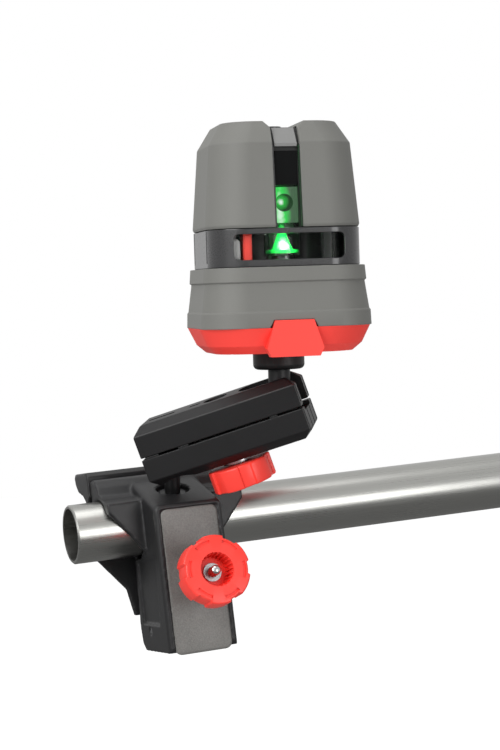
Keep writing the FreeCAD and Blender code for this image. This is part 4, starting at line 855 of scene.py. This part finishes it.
def makeKnob(name, place, body, node, sizes):
    radius, depth = sizes["radius"], sizes["depth"]
    pitch = 360 / sizes["lobes"]
    knob = rodPiece(name, radius, -depth, 0, points=180, ends="TRIFAN")

    def inValley(spot):
        angle = (math.degrees(math.atan2(spot.y, spot.x)) - sizes["turn"]) % pitch
        return spot.xy.length > radius - 0.1 and angle > pitch * sizes["lobeShare"]

    startEdit(knob)
    pickPoints(knob, inValley)
    growBy(1 - sizes["step"] / radius)
    pickEdges(knob, lambda start, end: abs(start.z - end.z) < 0.01 and min(start.xy.length, end.xy.length) > 1)
    bpy.ops.mesh.bevel(offset=sizes["edge"], segments=3)
    endEdit()
    bore = rodPiece("boreWay", sizes["bore"], sizes["floor"] - depth, 2, points=96)
    nutWay = rodPiece("nutWay", sizes["nutHole"], -depth - 1, 2, points=48)
    carve(knob, bore, nutWay, solver="MANIFOLD")
    for number in range(sizes["lobes"]):
        carve(knob, crescent(sizes, sizes["turn"] + pitch * (number + sizes["lobeShare"] / 2)), solver="MANIFOLD")
    smoothUnder(knob, 32)
    ribs = []
    # Each rib runs a little into the bore's wall and floor
    rib = boxPiece("rib", (sizes["bore"] - sizes["ribDepth"], -sizes["ribHalf"], sizes["floor"] - depth - 0.1),
                   (sizes["bore"] + 0.3, sizes["ribHalf"], -sizes["ribDrop"]))
    startEdit(rib)
    pickPoints(rib, lambda spot: spot.x < sizes["bore"])
    growBy(1.0, sizes["ribTaper"])
    pickPoints(rib, lambda spot: spot.x < sizes["bore"] and spot.z > -1)
    moveBy((sizes["ribLean"], 0, 0))
    endEdit()
    for number in range(sizes["ribs"]):
        twin = copyOf(rib, "ribCopy")
        turnedAbout(twin, "Z", 360 / sizes["ribs"] * number)
        ribs.append(twin)
    bpy.data.objects.remove(rib)
    joinAll(knob, ribs)
    settle(knob, place, body, "knob_red", "redPlastic", node)


def crescent(sizes, middle):
    inner = sizes["radius"] - sizes["pocketIn"]
    bar = boxPiece("crescent", (inner, -0.01, -sizes["pocketDepth"]), (inner + sizes["pocketWidth"], 0.01, 2))
    startEdit(bar)
    pickFaces(bar, lambda spot, normal: normal.y > 0.9)
    bpy.ops.mesh.spin(steps=12, angle=math.radians(sizes["pocketReach"]), center=(0, 0, 0), axis=(0, 0, 1))
    endEdit()
    tidyNormals(bar)
    turnedAbout(bar, "Z", middle - sizes["pocketReach"] / 2)
    return bar


armKnobDown = localBox("arm_knob", armFrame)[0].z
armKnobFrame = armFrame @ Matrix.Translation((0, 0, armKnobDown)) @ Matrix.Rotation(math.pi, 4, "X")
makeKnob("clampHandKnob", screwFrame, "screw_knob", "clamp_knob", knobSizes)
makeKnob("armHandKnob", armKnobFrame, "middle_knob", "arm_knob", armKnobSizes)
print("knobs made")

# clamp: the body and jaw keep their own shape, with their edges rounded

softSizes = {
    "clampCasting": {"node": "clamp_body", "body": "clamp", "cell": 0.66},
    "rearClampJaw": {"node": "rear_jaw", "body": "jaw", "cell": 0.6},
}


# A fine even net over the whole shape, relaxed a little, rounds every edge alike
def softCopy(name, sizes):
    piece = copyOf(frame["nodes"][sizes["node"]], name)
    piece.data.transform(Matrix.Scale(1 / millimetre, 4))
    startEdit(piece)
    pickAll()
    bpy.ops.mesh.remove_doubles(threshold=0.002)
    endEdit()
    finishWith(piece, "REMESH", mode="VOXEL", voxel_size=sizes["cell"])
    finishWith(piece, "SMOOTH", factor=0.5, iterations=3)
    useAlone(piece)
    bpy.ops.object.shade_smooth()
    settle(piece, Matrix.Scale(millimetre, 4), sizes["body"], "clamp_black", "clampBlack", sizes["node"])


for name, sizes in softSizes.items():
    softCopy(name, sizes)
print("clamp softened")

# clamp: front panel with a soft edge, its light grey and strong speckle painted sheen

panelSizes = {"corner": 3.9, "edge": 1.4, "setBack": 0.5, "slotHalf": 3.6, "slotCorner": 3.2,
              "slotUnder": -5.0, "slotOver": 6.0}


def roundedPlate(name, low, high, corner):
    centre = (low + high) / 2
    useNothing()
    bpy.ops.mesh.primitive_plane_add(size=1, rotation=(math.pi / 2, 0, 0))
    plate = named(name)
    plate.data.transform(Matrix.Translation((centre.x, high.y, centre.z))
                         @ Matrix.Diagonal((high.x - low.x, 1, high.z - low.z, 1)))
    startEdit(plate)
    pickAll()
    bpy.ops.mesh.bevel(offset=corner, segments=10, affect="VERTICES")
    pickAll()
    pushOut((0, low.y - high.y, 0))
    pickAll()
    bpy.ops.mesh.normals_make_consistent()
    endEdit()
    return plate


def makePanel(sizes, slotRange):
    low, high = localBox("front_plate", clampFrame)
    low.y += sizes["setBack"]
    panel = roundedPlate("speckledPanel", low, high, sizes["corner"])
    startEdit(panel)
    pickEdges(panel, lambda a, b: max(a.y, b.y) < low.y + 0.01)
    bpy.ops.mesh.bevel(offset=sizes["edge"], segments=5)
    endEdit()
    middle = (low.x + high.x) / 2
    way = boxPiece("slotWay", (middle - sizes["slotHalf"], low.y - 2, slotRange[0]),
                   (middle + sizes["slotHalf"], high.y + 2, slotRange[1]))
    softenEdges(way, sizes["slotCorner"], segments=6, angle=60)
    carve(panel, way, solver="MANIFOLD")
    smoothUnder(panel, 40)
    settle(panel, clampFrame, "clamp", "clamp_panel", "clampPanelSheen", "front_plate")


# The screw leaves through a slot at the height where its line meets the panel
screwTip = clampFrame.inverted() @ placeOf("screw_knob_turn")
panelFront = localBox("front_plate", clampFrame)[0].y
screwEntry = screwTip.z - (panelFront - screwTip.y) * math.tan(screwTilt)
makePanel(panelSizes, (screwEntry + panelSizes["slotUnder"], screwEntry + panelSizes["slotOver"]))
print("panel made")

# clamp: threaded screw with a domed tip

screwSizes = {"pitch": 0.8, "radius": 2.5, "threadDepth": 0.3, "threadLength": 24.0, "dome": 1.6,
              "domeSteps": 5, "tip": 0.05}


def makeScrew(sizes):
    low, high = localBox("clamp_screw", screwFrame)
    start, top = high.z - sizes["threadLength"], high.z - sizes["dome"]
    screw = rodPiece("threadedScrew", sizes["radius"] - 0.02, low.z, start, points=40)
    startEdit(screw)
    pickTop(screw)
    root = 1 - sizes["threadDepth"] / sizes["radius"]
    for turn in range(int((top - start) / sizes["pitch"])):
        for grow in (root, 1 / root):
            pushOut((0, 0, sizes["pitch"] / 2))
            growBy(grow)
    angles = [math.pi / 2 * step / sizes["domeSteps"] for step in range(sizes["domeSteps"] + 1)]
    for before, angle in zip(angles, angles[1:]):
        pushOut((0, 0, sizes["dome"] * (math.sin(angle) - math.sin(before))))
        growBy(max(math.cos(angle), sizes["tip"]) / math.cos(before))
    endEdit()
    tidyNormals(screw)
    smoothUnder(screw, 28)
    settle(screw, screwFrame, "screw", "steel", "screwSteel", "clamp_screw")


makeScrew(screwSizes)
print("screw made")

# laser level: optics behind the slot and the window, drawn with painted laser glow

opticsSizes = {"plateHalf": 6.9, "plateThick": 0.9, "plateGap": 0.05, "plateLow": 62.6, "plateHigh": 79.9,
               "lensHeight": 72.3, "ringRadius": 4.3, "ringWall": 0.6, "ringDepth": 1.3, "ringSink": 0.7,
               "ringBack": 0.5, "lensEdge": 0.9, "lensRise": 0.35, "domeRadius": 8.9, "domeLow": 47.2,
               "domeKnee": 57.0, "domeHigh": 64.6, "domeCrown": 0.32, "domeSteps": 7, "domeWall": 0.7,
               "coneLow": 49.6, "coneHigh": 64.0, "coneFoot": 8.0, "coneBase": 5.4, "coneNeck": 1.3,
               "coneRim": 1.4, "coneLip": 0.3, "coneCurve": 1.9, "coneSteps": 5}


def makeLensPlate(sizes, front):
    plate = boxPiece("lensPlate", (-sizes["plateHalf"], front - sizes["plateThick"], sizes["plateLow"]),
                     (sizes["plateHalf"], front - sizes["plateGap"], sizes["plateHigh"]))
    hole = rodPiece("lensHole", sizes["ringRadius"] - sizes["ringWall"], -6, 6, points=48)
    turnedAbout(hole, "X", 90)
    hole.data.transform(Matrix.Translation((0, front, sizes["lensHeight"])))
    carve(plate, hole)
    softenEdges(plate, 0.25, segments=2)
    # The alloy plate carries painted laser glow
    settle(plate, laserFrame, "hanging_optics", "alloy_cast", "lensPlate")
    ring = rodPiece("lensRing", sizes["ringRadius"], 0, sizes["ringDepth"], points=48)
    startEdit(ring)
    pickTop(ring)
    bpy.ops.mesh.inset(thickness=sizes["ringWall"])
    pushOut((0, 0, -sizes["ringSink"]))
    bpy.ops.mesh.inset(thickness=sizes["lensEdge"])
    pushOut((0, 0, sizes["lensRise"]))
    endEdit()
    turnedAbout(ring, "X", 90)
    ring.data.transform(Matrix.Translation((0, front - sizes["plateThick"] + sizes["ringBack"], sizes["lensHeight"])))
    softenEdges(ring, 0.12, segments=2)
    settle(ring, laserFrame, "hanging_optics", "prism_glass", "lensRing", "front_lens")


def makeDome(sizes, middle):
    dome = rodPiece("coneDome", sizes["domeRadius"], sizes["domeLow"], sizes["domeKnee"], points=72)
    startEdit(dome)
    pickTop(dome)
    steps, crown = sizes["domeSteps"], sizes["domeCrown"]
    angles = [math.pi / 2 * step / (steps + 1) for step in range(steps + 1)]
    before = 1
    for last, angle in zip(angles, angles[1:]):
        share = crown + (1 - crown) * math.cos(angle)
        pushOut((0, 0, (sizes["domeHigh"] - sizes["domeKnee"]) * (math.sin(angle) - math.sin(last))))
        growBy(share / before)
        before = share
    pickFaces(dome, lambda spot, normal: normal.z < -0.99)
    bpy.ops.mesh.delete(type="FACE")
    endEdit()
    finishWith(dome, "SOLIDIFY", thickness=sizes["domeWall"], offset=-1)
    smoothUnder(dome, 40)
    dome.data.transform(Matrix.Translation(middle))
    settle(dome, laserFrame, "hanging_optics", "prism_glass", "clearGlass", "cone_prism")


def makeCone(sizes, middle):
    base, neck, steps = sizes["coneBase"], sizes["coneNeck"], sizes["coneSteps"]
    cone = rodPiece("coneMirror", sizes["coneFoot"], sizes["coneLow"] - sizes["coneRim"], sizes["coneLow"], points=64)
    startEdit(cone)
    pickTop(cone)
    pushOut((0, 0, sizes["coneLip"]))
    growBy(base / sizes["coneFoot"])
    radius = base
    for step in range(1, steps + 1):
        target = neck + (base - neck) * (1 - step / steps) ** sizes["coneCurve"]
        pushOut((0, 0, (sizes["coneHigh"] - sizes["coneLow"] - sizes["coneLip"]) / steps))
        growBy(target / radius)
        radius = target
    endEdit()
    smoothUnder(cone, 50)
    cone.data.transform(Matrix.Translation(middle))
    # The cone mirror carries painted laser glow
    settle(cone, laserFrame, "hanging_optics", "prism_glass", "coneGlow")


blockFront = localBox("pendulum", laserFrame)[0].y
coneBox = localBox("cone_prism", laserFrame)
makeLensPlate(opticsSizes, blockFront)
coneMiddle = ((coneBox[0].x + coneBox[1].x) / 2, (coneBox[0].y + coneBox[1].y) / 2, 0)
makeDome(opticsSizes, coneMiddle)
makeCone(opticsSizes, coneMiddle)
print("optics made")

# laser level: dark liners along the slot, and the pale stop block behind the window

linerSizes = {"inner": 5.95, "outer": 6.66, "front": -36.9, "back": -31.0, "low": 60.4, "high": 99.5, "lean": 3.1,
              "soften": 0.2}
leverSizes = {"front": -32.8, "headLow": 43.8, "faceEdge": 0.7, "faceOut": 0.4, "soften": 0.5}
blockSizes = {"left": -28.6, "right": -23.5, "front": -33.0, "back": -30.4, "low": 45.4, "high": 55.0, "cut": 1.2,
              "faceEdge": 0.5, "faceOut": 0.3, "soften": 0.3}


def makeLiner(name, side, finish, sizes):
    edges = sorted((side * sizes["inner"], side * sizes["outer"]))
    liner = boxPiece(name, (edges[0], sizes["front"], sizes["low"]), (edges[1], sizes["back"], sizes["high"]))
    startEdit(liner)
    pickPoints(liner, lambda spot: spot.z > sizes["high"] - 0.1)
    moveBy((0, sizes["lean"], 0))
    endEdit()
    softenEdges(liner, sizes["soften"], segments=2)
    settle(liner, laserFrame, "laser", "case_black", finish)


def makeStopBlock(sizes):
    block = boxPiece("stopBlock", (sizes["left"], sizes["front"], sizes["low"]),
                     (sizes["right"], sizes["back"], sizes["high"]))
    startEdit(block)
    pickEdges(block, lambda a, b: min(a.z, b.z) > sizes["high"] - 0.1 and abs(a.x - b.x) < 0.1
              and a.x > sizes["right"] - 0.1)
    bpy.ops.mesh.bevel(offset=sizes["cut"], segments=1)
    pickFaces(block, lambda spot, normal: normal.y < -0.99)
    bpy.ops.mesh.inset(thickness=sizes["faceEdge"])
    pushOut((0, -sizes["faceOut"], 0))
    endEdit()
    softenEdges(block, sizes["soften"], segments=2)
    settle(block, laserFrame, "laser", "alloy_cast", "blockGrey")


def makeLever(sizes):
    low, high = localBox("lock_flag", laserFrame)
    lever = boxPiece("redLever", (low.x, sizes["front"], sizes["headLow"]), (high.x, high.y, high.z))
    startEdit(lever)
    pickAll()
    bpy.ops.mesh.bisect(plane_co=(0, low.y, 0), plane_no=(0, 1, 0))
    pickFaces(lever, lambda spot, normal: normal.z < -0.99 and spot.y > low.y)
    pushOut((0, 0, low.z - sizes["headLow"]))
    pickFaces(lever, lambda spot, normal: normal.y < -0.99 and spot.z > sizes["headLow"])
    bpy.ops.mesh.inset(thickness=sizes["faceEdge"])
    pushOut((0, -sizes["faceOut"], 0))
    endEdit()
    softenEdges(lever, sizes["soften"])
    settle(lever, laserFrame, "lock", "knob_red", "redFlag", "lock_flag")


makeLiner("leftSlotLiner", -1, "bandBlack", linerSizes)
# The right liner is a dark liner carrying a painted green column of laser light
makeLiner("rightSlotLiner", 1, "slotGlow", linerSizes)
makeStopBlock(blockSizes)
makeLever(leverSizes)
print("liners, stop block and lever made")

floorSettings = {"drop": 0.42, "size": 9.0, "shade": 0.8, "roughness": 0.9, "shadowShare": 0.5, "white": 1.8,
                 "reflected": 0.2}


def addFloor(settings):
    low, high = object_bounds()
    centre = (low + high) / 2
    bpy.ops.mesh.primitive_plane_add(size=settings["size"], location=(centre.x, centre.y, low.z - settings["drop"]))
    floor = bpy.context.object
    floor.name = "floor"
    material, tree, shader = startMaterial("paleFloor")
    setValues(shader, {"Base Color": [settings["shade"]] * 3 + [1], "Roughness": settings["roughness"]})
    path = tree.nodes.new("ShaderNodeLightPath")
    white = tree.nodes.new("ShaderNodeEmission")
    mix = tree.nodes.new("ShaderNodeMixShader")
    seen = mathNode(tree, "MAXIMUM", path.outputs["Is Camera Ray"], path.outputs["Is Transmission Ray"])
    mirrored = path.outputs["Is Glossy Ray"]
    tree.links.new(mathNode(tree, "MULTIPLY_ADD", seen, 1 - settings["shadowShare"], mirrored), mix.inputs["Fac"])
    dimmed = mathNode(tree, "MULTIPLY", mirrored, settings["reflected"])
    level = mathNode(tree, "MULTIPLY_ADD", seen, settings["white"], dimmed)
    tree.links.new(level, white.inputs["Strength"])
    tree.links.new(shader.outputs["BSDF"], mix.inputs[1])
    tree.links.new(white.outputs["Emission"], mix.inputs[2])
    tree.links.new(mix.outputs["Shader"], tree.nodes["Material Output"].inputs["Surface"])
    floor.data.materials.append(material)
    floor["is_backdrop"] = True


emptyPieces = [piece.name for piece in bpy.data.objects if piece.type == "MESH" and not piece.data.polygons]
print("pieces with no faces:", emptyPieces)
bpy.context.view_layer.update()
addFloor(floorSettings)
